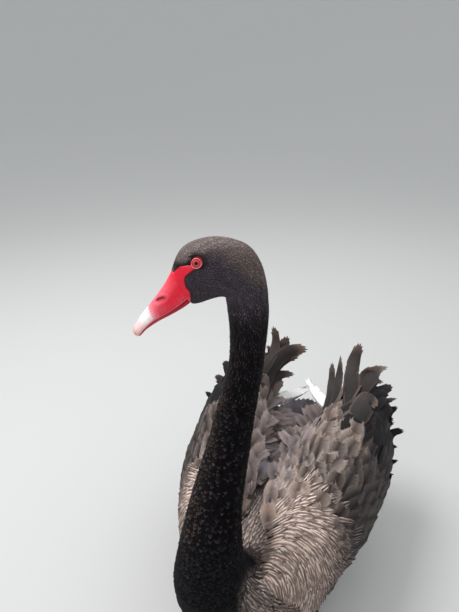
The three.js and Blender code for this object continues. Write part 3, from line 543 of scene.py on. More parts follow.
def scattered(sheet, spacing, rows, keep=None):
    """Roots spread evenly over rows of a sheet, at least the spacing for their place apart."""
    first, last = int(rows[0] * (sheet.rows - 1)), int(rows[1] * (sheet.rows - 1))
    area = (sheet.along * sheet.across)[first:last]
    u_grid = (np.arange(first, last) + 0.5) / (sheet.rows - 1)
    weight = area / spacing(u_grid)[:, None] ** 2
    cells = (sheet.rows - 1) * sheet.columns
    count = int(weight.sum() / cells * 5)
    picks = draw.choice(weight.size, count, p=(weight / weight.sum()).ravel())
    u = (first + picks // sheet.columns + draw.random(count)) / (sheet.rows - 1)
    v = (picks % sheet.columns + draw.random(count)) / sheet.columns
    places = sheet.read(sheet.points, u, v)
    if keep is not None:
        wanted = keep(places)
        u, v, places = u[wanted], v[wanted], places[wanted]
    reach = spacing(u)
    cell = reach.max()
    boxes = {}
    chosen = []
    neighbours = [(a, b, c) for a in (-1, 0, 1) for b in (-1, 0, 1) for c in (-1, 0, 1)]
    keys = np.floor(places / cell).astype(int)
    for i in range(len(places)):
        x, y, z = keys[i]
        p, r = places[i], reach[i]
        near = [q for a, b, c in neighbours for q in boxes.get((x + a, y + b, z + c), ())]
        if all((p[0] - q[0]) ** 2 + (p[1] - q[1]) ** 2 + (p[2] - q[2]) ** 2 > r * r for q in near):
            boxes.setdefault((x, y, z), []).append(p)
            chosen.append(i)
    return u[chosen], v[chosen]


def in_tiers(sheet, step, gap, rows, columns):
    """Roots in staggered tiers across part of a sheet, with the step and gap for each row."""
    found = []
    u, tier = rows[0], 0
    v_line = np.linspace(columns[0], columns[1], 120)
    while u < rows[1]:
        u_line = np.full(v_line.size, u)
        widths = sheet.read(sheet.across, u_line, v_line)
        arc = np.concatenate([[0], np.cumsum((widths[1:] + widths[:-1]) / 2 * np.diff(v_line))])
        count = max(int(arc[-1] / gap(u)), 2)
        marks = (np.arange(count) + 0.25 + 0.5 * (tier % 2)) / count * arc[-1]
        found.append(np.column_stack([np.full(count, u), np.interp(marks, arc, v_line)]))
        u += step(u) / sheet.read(sheet.along, u_line, v_line).mean()
        tier += 1
    u, v = np.concatenate(found).T
    u = u + draw.uniform(-0.2, 0.2, u.size) * step(u) / sheet.read(sheet.along, u, v)
    v = v + draw.uniform(-0.18, 0.18, v.size) * gap(u) / sheet.read(sheet.across, u, v)
    return u, v


# Feather patterns. Each has places along and across a vane, how far each place belongs to its rim, and faces.

def leaf_pattern():
    """A small plain vane: three points across at its root and its middle, and one at its tip."""
    along = np.array([-0.04, 0, -0.04, 0.46, 0.5, 0.46, 1])
    across = np.array([-0.6, 0, 0.6, -1, 0, 1, 0])
    faces = [grid_faces(2, 3), np.array([[3, 4, 6], [4, 5, 6]])]
    return {"a": along, "b": across, "edge": np.maximum(along, 0), "faces": faces}


def grid_pattern(along, across, edge):
    """A pattern whose places form a grid."""
    faces = [grid_faces(*along.shape)]
    return {"a": along.ravel(), "b": across.ravel(), "edge": edge.ravel(), "faces": faces}


def scale_pattern():
    """A small rounded vane, five points across, with its rim marked for a pale edge."""
    t = np.array([0, 0.45, 0.75, 0.92, 1.0])[:, None]
    width = np.array([0.5, 0.95, 1.0, 0.78, 0.42])[:, None]
    b = np.linspace(-1, 1, 5)[None]
    rim = np.maximum(ease(0.75, 1.0, t), ease(0.6, 1.0, np.abs(b)) * ease(0.3, 0.9, t))
    return grid_pattern(t - 0.1 * b * b * ease(0, 0.5, t), b * width, rim)


def streak_pattern():
    """A long narrow vane with pale sides and a dark middle."""
    t = np.array([0, 0.3, 0.6, 0.82, 0.94, 1.0])[:, None]
    width = np.array([0.5, 0.85, 1.0, 0.9, 0.6, 0.2])[:, None]
    b = np.linspace(-1, 1, 7)[None]
    rim = ease(0.1, 0.6, np.abs(b)) * ease(0.1, 0.6, t) * mix(1, 0.55, ease(0.8, 1.0, t))
    return grid_pattern(t - 0.06 * b * b * ease(0, 0.5, t), b * width, rim)


def ribbon_pattern(rows, columns):
    """A broad vane with a squared, ragged end, fine enough to curl and twist."""
    t = np.linspace(0, 1, rows)[:, None]
    b = np.linspace(-1, 1, columns)[None]
    width = mix(0.45, 1.0, ease(0, 0.45, t)) * (1 - 0.28 * ease(0.8, 1.0, t))
    ragged = np.where(np.arange(columns) % 2, 0.0, 0.035) * ease(0.88, 1, t)
    rim = np.maximum(ease(0.84, 1.0, t), ease(0.72, 1.0, np.abs(b)) * 0.6)
    return grid_pattern(0.97 * t - 0.07 * b * b * ease(0.4, 1, t) + ragged, b * width, rim)


def webbed_pattern(shaft, web, web_width, web_edge, tips, tip_width):
    """A vane from places along its shaft, a closed web on each side and separate barb tips round its edge."""
    size = len(shaft)
    a, b, edge = [shaft], [np.zeros(size)], [np.zeros(size)]
    quads, hairs = [], []
    for start, side in ((size, -1), (3 * size - 1, 1)):
        a += [web, tips]
        b += [side * web_width, side * tip_width]
        edge += [np.full(size, web_edge), np.ones(size - 1)]
        for i in range(size - 1):
            quads.append([i, i + 1, start + i + 1, start + i][::side])
            hairs.append([start + i, start + i + 1, start + size + i][::side])
    a, b, edge = map(np.concatenate, (a, b, edge))
    return {"a": a, "b": b, "edge": edge, "faces": [np.array(quads), np.array(hairs)]}


def fringed_pattern(barbs):
    """A broad, rounded vane with fine hairs all round its edge."""
    t = np.linspace(0, 1, barbs + 1)
    width = np.sin(np.pi * (0.14 + 0.80 * t ** 1.2)) ** 0.45
    middle, wide = (t[:-1] + t[1:]) / 2, (width[:-1] + width[1:]) / 2
    shaft, tips = 0.9 * t, 0.9 * middle + 0.11 + 0.06 * middle ** 3
    return webbed_pattern(shaft, shaft + 0.04, 0.78 * width, 0.64, tips, wide * mix(1.0, 0.86, middle ** 4))


def barbed_pattern(barbs, blunt, web, sweep):
    """A long firm vane whose barbs sweep toward its tip."""
    stations = np.linspace(0, 1, barbs + 1) ** 0.9
    middle = (stations[:-1] + stations[1:]) / 2
    width, wide = (np.sin(np.pi * (0.12 + 0.88 * t ** 1.15)) ** blunt for t in (stations, middle))
    width[-1] = 0.25
    shaft = stations * 0.94
    webs = np.minimum(shaft + sweep * 0.7 * stations ** 0.5, 0.97)
    tips = np.minimum(middle * 0.94 + sweep + 0.02 * middle, 1.04)
    return webbed_pattern(shaft, webs, web * width, 0.55, tips, wide * np.where(middle > 0.85, 0.75, 1.0))


def repeated(pattern, count):
    """The faces of one pattern for each of many feathers."""
    size = len(pattern["a"])
    starts = (np.arange(count) * size)[:, None, None]
    return [(part[None] + starts).reshape(-1, part.shape[1]) for part in pattern["faces"]]


def feather_paint(pattern, base, fringe, strength, shaded):
    """Colour of each point: painted shade at the root, where other feathers lie over it, and a pale rim."""
    edge = (pattern["edge"] ** 2.2)[None, :, None] * strength[:, None, None]
    # Painted shade: each feather darkens toward its root down to the shaded share, for the shadow of the
    # feathers over it.
    depth = mix(shaded, 1.0, ease(0.3, 0.8, pattern["a"]))[None, :, None]
    return mix(base[:, None, :] * depth, fringe[:, None, :], edge).reshape(-1, 3)


def vane_places(pattern, count):
    """Each point's place across and along its feather, and a random share for each feather."""
    tint = draw.random(count)[:, None]
    return np.stack(np.broadcast_arrays(pattern["b"][None], pattern["a"][None], tint), -1).reshape(-1, 3)


def patches(pattern, u, v):
    """Each feather's small patch at its root's place on the unwrapped skin."""
    x = np.mod(v, 1)[:, None] * 0.98 + 0.01 + pattern["b"][None] * PATCH / 2
    y = np.clip(u, 0, 1)[:, None] * 0.98 + 0.01 + (pattern["a"][None] - 0.5) * PATCH
    return np.stack([x, y], -1).reshape(-1, 2)


def sheet_feathers(sheet, pattern, u, v, length, half, lift, sink, turn, roll=0.0, ripple=0.0, cup=0.12):
    """Points of feathers that lie on a sheet. Roots sink in, and tips lift clear by a share of the length."""
    length, half, lift, sink, turn, roll = (
        np.broadcast_to(x, u.shape)[:, None] for x in (length, half, lift, sink, turn, roll)
    )
    a, b = pattern["a"][None], pattern["b"][None]
    uneven = 1 + draw.normal(0, ripple, (len(u), pattern["a"].size)) * pattern["edge"][None]
    ahead = length * a * uneven
    aside = half * b * uneven
    along = sheet.read(sheet.along, u, v)[:, None]
    across = sheet.read(sheet.across, u, v)[:, None]
    on_u = u[:, None] + (ahead * np.cos(turn) - aside * np.sin(turn)) / along
    on_v = v[:, None] + (ahead * np.sin(turn) + aside * np.cos(turn)) / across
    height = mix(sink, lift * length, np.clip(a, 0, 1.1) ** 1.4) + roll * aside - cup * half * b * b
    place, normal = sheet.at(on_u, on_v)
    return (place + normal * height[..., None]).reshape(-1, 3)


def over_floor(points):
    """The same points, with those that lie too low raised to just over the floor."""
    points[:, 2] = np.maximum(points[:, 2], CLEARANCE)
    return points


# Skin

def neck_line(share):
    """Points of the neck's curve and their directions, as a smooth line through its route."""
    keys = np.arange(len(NECK_ROUTE), dtype=float)
    step = share * (len(NECK_ROUTE) - 1)
    points = np.stack([hermite(keys, NECK_ROUTE[:, k], step) for k in range(3)], -1)
    ahead = np.stack([hermite(keys, NECK_ROUTE[:, k], step + 0.02) for k in range(3)], -1)
    return points, unit(ahead - points)


def rump_rings():
    """Rings of the rump, narrowing to its rear end."""
    t = np.linspace(0, 1, 8)[:, None]
    around = turns(32)
    y, top, bottom, half = (mix(*RUMP[name], t) for name in ("y", "top", "bottom", "half"))
    taper = np.sqrt(1 - t ** 2 * 0.75)
    x = half * taper * np.cos(around)
    z = (top + bottom) / 2 + (top - bottom) / 2 * taper * np.sin(around)
    return np.stack([x, np.broadcast_to(y, x.shape), z], -1)


def neck_top_rings():
    """The neck's last length, up into the back of the head."""
    shares = np.linspace(*NECK_TOP, 18)
    places, ahead = neck_line(shares)
    radius = np.interp(shares, [0.8, 0.9], [22, 23.5])[:, None, None]
    side = unit(np.cross(ahead, REARWARD))[:, None]
    back = np.cross(side, ahead[:, None])
    around = turns(40)[None, :, None]
    return places[:, None] + radius * (side * np.cos(around) + back * np.sin(around))


def coat_depth(points):
    """How far the skin lies under the outline, from the smallest on the face to the most on the back."""
    z = points[:, 2]
    return 0.5 + ease(700, 330, z) + ease(300, 220, z) * 3.0 - ease(60, 5, z) * 2.0


def body_skin():
    """Points and triangles of one skin round the trunk, the neck and the head."""
    t, angle = np.broadcast_arrays(np.linspace(0, 1, 44)[:, None], turns(72))
    shapes = [mesh_parts(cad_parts[name].data) for name in FLESH if name != "head"]
    shapes += [capped_tube(rings) for rings in (head_surface(t, angle), neck_top_rings(), rump_rings())]
    points, triangles, normals = smooth_skin(*joined(shapes), *BODY_SKIN)
    return points - normals * coat_depth(points)[:, None], triangles


def hit(tree, origin, way):
    """Where a ray meets a surface, or no numbers where it misses."""
    place = tree.ray_cast(Vector(origin), Vector(way))[0]
    return np.full(3, np.nan) if place is None else np.array(place)


def body_sections(tree):
    """Middles, dorsal and leftward directions of sections from the bill to the rump."""
    top, low = head_outline(np.linspace(HEAD_START, 1, HEAD_ROWS))
    dorsals = unit(top - low)
    sections = [(middle, dorsal, LEFTWARD) for middle, dorsal in zip((top + low) / 2, dorsals)]
    shares = np.linspace(*NECK_SHARES, NECK_ROWS)
    places, ahead = neck_line(shares)
    top_back = unit(dorsals[-1] - ahead[0] * np.dot(dorsals[-1], ahead[0]))
    for place, way, share in zip(places, ahead, shares):
        back = mix(REARWARD, top_back, ease(0.35, 0.95, share))
        back = unit(back - way * np.dot(back, way))
        sections.append((place, back, np.cross(back, way)))
    start, back, _ = sections[-1]
    pivot = start + back * FAN_REACH
    first = math.atan2(back[2], back[1])
    for angle in np.linspace(first, math.pi / 2, FAN_ROWS)[1:]:
        out = np.array([0, -math.cos(angle), -math.sin(angle)])
        x = mix(start[0], 0.0, (angle - first) / (math.pi / 2 - first))
        origin = np.array([x, pivot[1], pivot[2]])
        middle = (hit(tree, origin, out) + hit(tree, origin + out * FAN_OUTSIDE, -out)) / 2
        sections.append((middle, -out, LEFT))
    for y in np.linspace(pivot[1], RUMP["y"][1] - 6, TRUNK_ROWS)[1:]:
        middle = (hit(tree, (0, y, TRUNK_OUTSIDE), -UP) + hit(tree, (0, y, -TRUNK_OUTSIDE), UP)) / 2
        sections.append((np.array([0, y, middle[2]]), UP, LEFT))
    middles, dorsals, lefts = (softened(np.array(rows)) for rows in zip(*sections))
    return middles, unit(dorsals), unit(lefts)


def softened(rows, passes=14):
    """Neighbouring rows averaged a few times, with both ends held."""
    for _ in range(passes):
        rows[1:-1] = (rows[:-2] + 2 * rows[1:-1] + rows[2:]) / 4
    return rows


def body_sheet(points, triangles):
    """The body's skin as one sheet from the bill's base to the rump, wrapped round its spine."""
    tree = BVHTree.FromPolygons(points.tolist(), triangles.tolist())
    middles, dorsals, lefts = body_sections(tree)
    around = turns(96)
    grid = np.empty((len(middles), len(around), 3))
    outward = np.empty_like(grid)
    for i, (middle, dorsal, left) in enumerate(zip(middles, dorsals, lefts)):
        for j, angle in enumerate(around):
            outward[i, j] = dorsal * math.cos(angle) + left * math.sin(angle)
            grid[i, j] = hit(tree, middle, outward[i, j])
    for i in range(len(middles) - 2, -1, -1):
        missed = np.isnan(grid[i, :, 0])
        grid[i, missed] = grid[i + 1, missed]
    return Sheet(grid, True, outward)


# Colours by place

def beside_neck(points):
    """How far points lie to the left of the neck's route at their height."""
    return points[:, 0] - np.interp(points[:, 2], *NECK_ROUTE[:, [2, 0]].T)


def mantle(points):
    """How far points of the trunk belong to its shoulders and upper back, which have the wings' colours."""
    _, y, z = points.T
    aside = np.abs(beside_neck(points))
    shoulders = ease(46, 58, aside) * ease(120, 190, z) * ease(285, 262, z) * ease(-240, -205, y) * 0.9
    return np.maximum(shoulders, ease(-152, -132, y) * ease(160, 190, z) * ease(290, 270, z))


def tufted(points):
    """Light and dark tufts on the neck, longer along it than round it, and fainter on the head and body."""
    x, y, z = points.T
    wave = np.sin(x * 0.52 + 2 * np.sin(z * 0.09)) * np.sin(y * 0.47 + 1.7 * np.sin(z * 0.11 + 1))
    wave += 0.6 * np.sin(x * 0.83 - y * 0.66 + z * 0.19)
    neck = ease(240, 330, z) * ease(700, 620, z)
    return np.exp(wave * mix(0.16, 0.75, neck))[:, None]


def body_colours(points):
    """Coat colour by place: brown crown and neck's right side, partly painted light; grey face, near-black
    neck, taupe mantle, dark belly.
    """
    f, _, u = to_head(points).T
    _, y, z = points.T
    right = ease(10, -30, beside_neck(points))
    # The crown's brown is partly the feathers' own colour and partly painted light from above.
    crown = ease(15, 5, np.interp(f, *CROWN[5::-1].T) - u) * ease(-44, -34, f)
    above_lore = u - np.interp(f, *FACE_TOP[:6].T)
    mask = ease(3.4, 1.0, above_lore) * ease(28, 18, f) * ease(-4, 1, f) * ease(-3, 0, u)
    mask = np.maximum(mask, ease(9.5, 6.5, np.hypot(f, u)))
    trunk = mix(INK * 2, BROWN_BLACK, 0.2 + 0.8 * ease(-190, -70, y)[:, None])
    return tufted(points) * layered(INK * 0.7, [
        # Browner on the neck's right side, as painted light falling on that side.
        (BROWN_BLACK * 0.7, right * ease(250, 420, z) * 0.3),
        (CHARCOAL * 0.8, ease(560, 690, z) * 0.8),
        (FACE_GREY, ease(650, 700, z)),
        (BROWN_BLACK * 4.4, ease(-8, -30, f) * ease(600, 690, z) * 0.8),
        (CROWN_BROWN, crown * ease(670, 710, z)),
        (INK, mask * 0.9 * ease(690, 710, z)),
        (trunk, ease(240, 180, z)),
        (mix(TAUPE, GREY, 0.5) * 0.5, mantle(points)),
        (CHARCOAL * 1.3, ease(60, 10, z) * 0.6),
    ])


def speckled(base, amount):
    """Small differences from feather to feather."""
    share = np.exp(np.clip(draw.normal(0, amount, (len(base), 1)), -1.5 * amount, 1.5 * amount))
    warm = draw.normal(0, amount * 0.14, (len(base), 1)) * np.array([1, 0.2, -0.8])
    return base * share * (1 + warm)


# Coats of the body

def coat(name, sheet, pattern, u, v, sizes, look, material):
    """One piece of coat from its roots, the sizes of its feathers and their colours."""
    points = over_floor(sheet_feathers(sheet, pattern, u, v, **sizes))
    return mesh_piece(
        name, points, repeated(pattern, len(u)), material,
        paint=feather_paint(pattern, *look),
        vane=vane_places(pattern, len(u)),
        patch=patches(pattern, u, v),
    )


def body_coats(sheet, materials):
    """Coats of the head, the neck's two lengths, the breast, trunk and shoulders, finer toward the face."""
    head_end, neck_middle, neck_end, breast_end = (row / sheet.rows for row in COAT_ENDS)
    fine, scale, streak = leaf_pattern(), scale_pattern(), streak_pattern()

    def spacing(u):
        neck = mix(1.35, 4.2, ease(head_end * 0.4, neck_end, u))
        return mix(neck, 7.0, ease(neck_end, breast_end + 0.12, u))

    def varied(tip):
        return tip * np.exp(draw.normal(0, 0.25, (len(tip), 1))), draw.uniform(0.4, 0.9, len(tip))

    def on_head(places, base):
        return base * 1.45 + 0.004, draw.uniform(0.2, 1.0, len(base))

    def on_neck(places, base):
        """Soft brown flecks, and pale rims low on the neck's right side; more and paler there, partly as
        painted light on that side.
        """
        right = ease(6, -24, beside_neck(places))
        flecked = (draw.random(len(base)) < mix(0.32, 0.9, right) * tufted(places)[:, 0] ** 1.5)[:, None]
        low = (ease(420, 340, places[:, 2]) * right)[:, None]
        brown = mix(BROWN_BLACK * 0.8, PALE_BROWN, 0.11 + 0.22 * low)
        return varied(mix(base * 1.6, brown, flecked * 0.9))

    def on_body(places, base):
        side = ease(-120, 0, places[:, 1]) * ease(40, 150, places[:, 2])
        return varied(layered(base * 2.0 + 0.004, [(CREAM * 0.4, side), (CREAM * 0.8, mantle(places))]))

    def feathered(places):
        return bare_margin(places) < 0.3

    def shouldered(places):
        return mantle(places) > 0.35

    def plain(places):
        return mantle(places) < 0.4

    neck, body, wing = "neck_feathers", "body_feathers", "wing_feathers"
    # Rows, half width against length, length against the roots' spacing, speckle, tips and place of each.
    for part, pattern, rows, slim, long, amount, tips, slot, material, keep in [
        ("head", fine, (0, head_end), 0.15, 3.9, 0.24, on_head, neck, "small", feathered),
        ("neck_upper", fine, (head_end, neck_middle), 0.19, 3.4, 0.5, on_neck, neck, "small", None),
        ("neck_lower", scale, (neck_middle, neck_end), 0.26, 2.9, 0.6, on_neck, neck, "small", None),
        ("breast", scale, (neck_end, breast_end), 0.3, 2.8, 0.4, on_body, body, "body", plain),
        ("trunk", scale, (breast_end, 1), 0.33, 2.7, 0.25, on_body, body, "body", plain),
        ("shoulders", streak, (neck_end, 1), 0.12, 6.5, 0.3, on_body, wing, "body", shouldered),
    ]:
        u, v = scattered(sheet, spacing, rows, keep)
        places = sheet.read(sheet.points, u, v)
        base = speckled(body_colours(places), amount)
        size = spacing(u) * long
        tip, strength = tips(places, base)
        # The look's last share, 0.7, is the painted shade at each feather's root.
        coat(f"coat_{part}", sheet, pattern, u, v,
             {"length": size, "half": size * slim, "lift": draw.uniform(0.05, 0.13, u.size),
              "sink": -np.minimum(0.12 * size, 2.5), "turn": draw.normal(0, 0.09, u.size)},
             (base, tip, strength, 0.7), materials[material])


# Feathers that stand free, each along a curve of its own

def arched(root, tip, lift):
    """Curves of four points from roots to tips, lifted between them."""
    return np.stack([root, mix(root, tip, 0.35) + UP * lift, mix(root, tip, 0.7) + UP * lift, tip], -2)


def free_feathers(name, pattern, curves, upward, half, look, roots, material,
                  cup, twist=0.0, under=None, shaded=0.4):
    """Feathers along curves of four points. Their upper faces turn as far as they can to the given way, and
    their lower faces are painted darker, as painted shade.
    """
    count = len(curves)
    a, b = pattern["a"][None, :, None], pattern["b"][None, :, None]
    along = np.clip(a, 0, 1.1)
    p0, p1, p2, p3 = (curves[:, None, k] for k in range(4))
    q = 1 - along
    middle = q ** 3 * p0 + 3 * q * q * along * p1 + 3 * q * along ** 2 * p2 + along ** 3 * p3
    tangent = unit(3 * q * q * (p1 - p0) + 6 * q * along * (p2 - p1) + 3 * along ** 2 * (p3 - p2))
    across = unit(np.cross(tangent, np.broadcast_to(upward, (count, 3))[:, None]))
    normal = np.cross(across, tangent)
    wide, turn = (np.broadcast_to(np.asarray(x, float), count)[:, None, None] for x in (half, twist))
    cos, sin = np.cos(turn * along), np.sin(turn * along)
    across, normal = across * cos + normal * sin, normal * cos - across * sin
    uneven = 1 + draw.normal(0, 0.05, (count, a.size, 1)) * pattern["edge"][None, :, None]
    middle = middle + across * (b * wide * uneven) - normal * (cup * wide * b * b)
    shift = normal * (VANE_THICK / 2) * (1 - 0.5 * along)
    base, rim, strength = look
    # Painted shade: the lower faces take six tenths of the base unless another dark colour is given, and they
    # darken further at the root.
    underside_shade = base * 0.6 if under is None else under
    upper = repeated(pattern, count)
    lower = [part[:, ::-1] + count * a.size for part in upper]
    return mesh_piece(
        name, over_floor(np.concatenate([middle + shift, middle - shift]).reshape(-1, 3)),
        [*upper, *lower], material,
        paint=np.concatenate([feather_paint(pattern, base, rim, strength, shaded),
                              feather_paint(pattern, underside_shade, underside_shade * 1.6, strength, 0.8)]),
        vane=np.tile(vane_places(pattern, count), (2, 1)),
        patch=np.tile(patches(pattern, *roots), (2, 1)),
    )


# Wings

def wing_point(side, u, v):
    """Places on a wing: u from shoulder to rear and v from its inner edge over to its lower edge."""
    y = mix(WING[0, 0], WING[-1, 0], u)
    inner_x, inner_z, crest, outer_x, outer_z, low_x, low_z = columns_at(WING, y)
    keys = [0, 0.3, 0.55, 0.74, 1]
    x = [inner_x, mix(inner_x, outer_x, 0.42), mix(inner_x, outer_x, 0.83), outer_x, low_x]
    z = [inner_z, crest, mix(outer_z, crest, 0.72), outer_z, low_z]
    wide = side * (1 if side > 0 else RIGHT_WING_IN)
    return np.stack([wide * hermite(keys, x, v), y, hermite(keys, z, v)], -1)


def wing_sheet(side):
    """The wing's outer surface. Its front sinks into the breast, so that no edge stands out there."""
    u, v = np.meshgrid(np.linspace(0, 1, 61), np.linspace(0, 1, 49), indexing="ij")
    points = wing_point(side, u, v)
    sunk = (1 - np.clip(u / WING_SINK["over"], 0, 1)) ** 2
    points[..., 0] -= side * WING_SINK["inward"] * sunk
    points[..., 2] -= WING_SINK["down"] * sunk * (1 - 0.6 * v)
    outward = points - np.array([side * 60, 0, 120])
    outward[..., 1] = 0
    return Sheet(points, False, outward)


def wing_colours(u, v):
    """Base and rim colour on a wing: grey by the back, taupe on the dome, slate down the side, partly painted
    shade, and painted shadow in the hollow at the rear.
    """
    grey = ease(0.25, 0.05, v) * ease(0.15, 0.4, u) * ease(1.0, 0.7, u)
    # The side's slate is partly the feathers' own dark colour and partly painted shade on the side turned
    # from the light, and its rims are dulled with it.
    outer = ease(0.36, 0.58, v) * ease(0.1, 0.3, u)
    # Painted shadow: near black in the hollow under the arch of the curls, on the base and on the rims.
    hollow_shadow = ease(0.62, 0.74, u) * ease(0.22, 0.34, v)
    base = layered(TAUPE, [
        (TAUPE * 0.22, ease(0.16, 0.36, u)), (TAUPE * 0.62, ease(0.45, 0.7, u)), (GREY * 1.05, grey),
        (SLATE * 0.42, outer), (INK * 0.9, hollow_shadow),
    ])
    rim = layered(CREAM * 1.25, [
        (CREAM, ease(0.2, 0.4, u)), (CREAM * 0.3, outer), (CREAM, ease(0.6, 0.9, u) * (1 - outer)),
        (BROWN_BLACK * 0.35, hollow_shadow * 0.9),
    ])
    return base, rim


def wing_skin(name, sheet, material):
    """The wing's body under its feathers, a closed shell that thins to the rear."""
    u, v = np.broadcast_arrays(np.linspace(0, 0.97, 50)[:, None], np.linspace(0.02, 0.98, 40)[None])
    thick = mix(*WING_THICK, u ** 0.7)
    place, normal = sheet.at(u, v)
    round_off = 1 - np.abs(2 * v - 1) ** 6 * 0.5
    outer = place - normal * np.minimum(WING_COAT, thick * 0.4)[..., None]
    inner = place - normal * ((thick - 1) * round_off)[..., None]
    rows, columns = u.shape
    count = rows * columns
    faces = grid_faces(rows, columns)
    index = np.arange(count).reshape(rows, columns)
    rim = np.concatenate([index[0], index[1:, -1], index[-1, -2::-1], index[-2:0:-1, 0]])
    after = np.roll(rim, -1)
    edge = np.stack([after, rim, rim + count, after + count], -1)
    paint = wing_colours(u, v)[0] * 0.2
    piece = mesh_piece(f"skin_wing_{name}", np.stack([outer, inner]), [faces, faces[:, ::-1] + count, edge],
                       material, paint=np.stack([paint, paint]))
    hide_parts(f"wing_{name}_back", f"wing_{name}_side")


def wing_coats(name, sheet, materials):
    """Streaks that sweep out over the shoulder, then tiers of broad fringed feathers."""
    u, v = scattered(sheet, lambda u: mix(4.0, 5.8, u / 0.4), (0.0, 0.42))
    kept = draw.random(u.size) < ease(0.44, 0.26, u + 0.12 * v)
    u, v = u[kept], v[kept]
    size = draw.uniform(36, 54, u.size)
    base, rim = wing_colours(u, v)
    # The look's last share is the painted shade at each feather's root.
    coat(f"coat_wing_{name}_front", sheet, streak_pattern(), u, v,
         {"length": size, "half": draw.uniform(2.8, 4.4, u.size), "lift": draw.uniform(0.02, 0.07, u.size),
          "sink": -1.5, "turn": 1.7 * ease(0.45, 0.08, u) + draw.normal(0, 0.08, u.size), "cup": 0.2},
         (speckled(base, 0.3), speckled(rim, 0.1), draw.uniform(0.8, 1.0, u.size), 0.7),
         materials["body"])

    def length(u):
        return mix(34.0, 76.0, np.clip(u, 0, 1))

    fringed = fringed_pattern(42)
    for part, columns, lifted in (("back", (0.01, 0.46), 0.16), ("side", (0.46, 0.99), 0.09)):
        u, v = in_tiers(sheet, lambda u: length(u) * 0.31, lambda u: length(u) * 0.56, (0.2, 0.9), columns)
        size = length(u) * draw.uniform(0.85, 1.12, u.size)
        base, rim = wing_colours(u, v)
        # The look's last share is the painted shade at each feather's root.
        coat(f"coat_wing_{name}_{part}", sheet, fringed, u, v,
             {"length": size, "half": size * draw.uniform(0.34, 0.40, u.size),
              "lift": draw.uniform(0.03, lifted, u.size), "sink": -WING_COAT * 0.6,
              "turn": 0.5 * np.maximum(v - 0.56, 0) + draw.normal(0, 0.14, u.size),
              "roll": draw.normal(0.04, 0.09, u.size), "ripple": 0.03, "cup": 0.13},
             (speckled(base, 0.28), speckled(rim, 0.12), draw.uniform(0.7, 1.0, u.size), 0.25),
             materials["wing"])


def rear_feathers(name, sheet, material):
    """Long ribbon feathers over the wing's rear, the last of them bent up and outward at their ends."""
    u, v = in_tiers(sheet, lambda u: 20.0, lambda u: 25.0, (0.7, 0.93), (0.03, 0.97))
    count = u.size
    size = mix(66, 100, ease(0.7, 0.93, u)) * mix(1, 0.8, ease(0.4, 0.7, v)) * draw.uniform(0.85, 1.15, count)
    root, normal = sheet.at(u, v)
    rearward = unit(sheet.at(u + 0.02, v)[0] - root)
    outward = unit(sheet.at(u, v + 0.02)[0] - root)
    reach = 0.42 * ease(0.72, 0.93, u) * mix(1, 0.25, ease(0.4, 0.6, v))
    bend = (size * reach * draw.uniform(0.1, 1, count))[:, None]
    aside = (size * draw.normal(0.06, 0.16, count))[:, None]
    root = root - normal * 3
    ahead = rearward * size[:, None]
    curves = np.stack([
        root, root + ahead * 0.35 + normal * 6,
        root + ahead * 0.72 + normal * (6 + bend * 0.3) + outward * aside * 0.4,
        root + ahead * 0.95 + normal * (4 + bend) + outward * aside,
    ], 1)
    # Colours of the wing a little further back, with its painted shadow. Painted shade at the roots, and
    # lower faces painted at four tenths of the base as painted shade.
    base, rim = wing_colours(u + 0.12, v)
    free_feathers(f"rear_{name}", ribbon_pattern(14, 7), curves, normal, draw.uniform(12, 17, count),
                  (speckled(base * 0.9, 0.25), speckled(rim * 0.4, 0.2), draw.uniform(0.5, 0.9, count)),
                  (u, v), material, cup=0.22, twist=draw.normal(0, 0.35, count),
                  under=base * 0.4)


def wing_curls(name, sheet, material):
    """Broad ruffled feathers at the wing's rear, twisted like ribbons, over dark hooks down its side."""
    rows = np.array(CURLS[name])
    count = len(rows)
    u, v, half, twist = rows[:, [0, 1, 8, 9]].T
    tip, end, dark = rows[:, 2:5], unit(rows[:, 5:8]), rows[:, 10:]
    place, normal = sheet.at(u, v)
    root = place - normal * 5
    rearward = unit(sheet.at(u + 0.02, v)[0] - place)
    reach = np.linalg.norm(tip - root, axis=1, keepdims=True)
    leaving = unit(rearward + normal * 0.25)
    curves = np.stack([root, root + leaving * reach * 0.45, tip - end * reach * 0.45, tip], 1)
    colour = mix(mix(TAUPE, GREY, draw.uniform(0, 0.7, (count, 1))) * 0.24, INK * 1.5, dark)
    rim = mix(PALE_BROWN * 0.8, INK * 4, dark)
    # The lower faces are painted near black, as painted shade under the curls.
    free_feathers(
        f"curls_{name}", ribbon_pattern(20, 9), curves, unit(normal + np.array([0, -0.9, 0.4])), half,
        (speckled(colour, 0.15), rim, np.full(count, 0.8)), (u, v), material,
        cup=0.25, twist=twist, under=mix(INK * 2, INK, dark),
    )


def tertials(name, sheet, material):
    """Soft grey inner feathers that slope from each wing's inner edge over the back."""
    count = 40
    share = np.sort(draw.random(count))
    u, v = mix(0.45, 0.95, share), draw.uniform(0.0, 0.1, count)
    place, normal = sheet.at(u, v)
    root = place - normal * 3
    inward = draw.uniform(0.1, 0.75, count)
    reach = mix(46, 78, share) * draw.uniform(0.8, 1.15, count)
    way = np.stack([-SIDES[name] * np.sin(inward), np.cos(inward), -draw.uniform(0.08, 0.6, count)], -1)
    curves = arched(root, root + way * reach[:, None], 4)
    curves[:, 2:] += draw.normal(0, 4, (count, 2, 3))
    # The grey is darkened, partly as painted shade of the hollow between the wings.
    base = speckled(np.tile(mix(GREY, TAUPE, 0.4) * 0.62, (count, 1)), 0.35)
    free_feathers(f"tertials_{name}", fringed_pattern(30), curves, UP - REARWARD * 0.3,
                  draw.uniform(10, 14, count), (base, base * 2.6, np.full(count, 0.9)), (u, v), material,
                  cup=0.2)


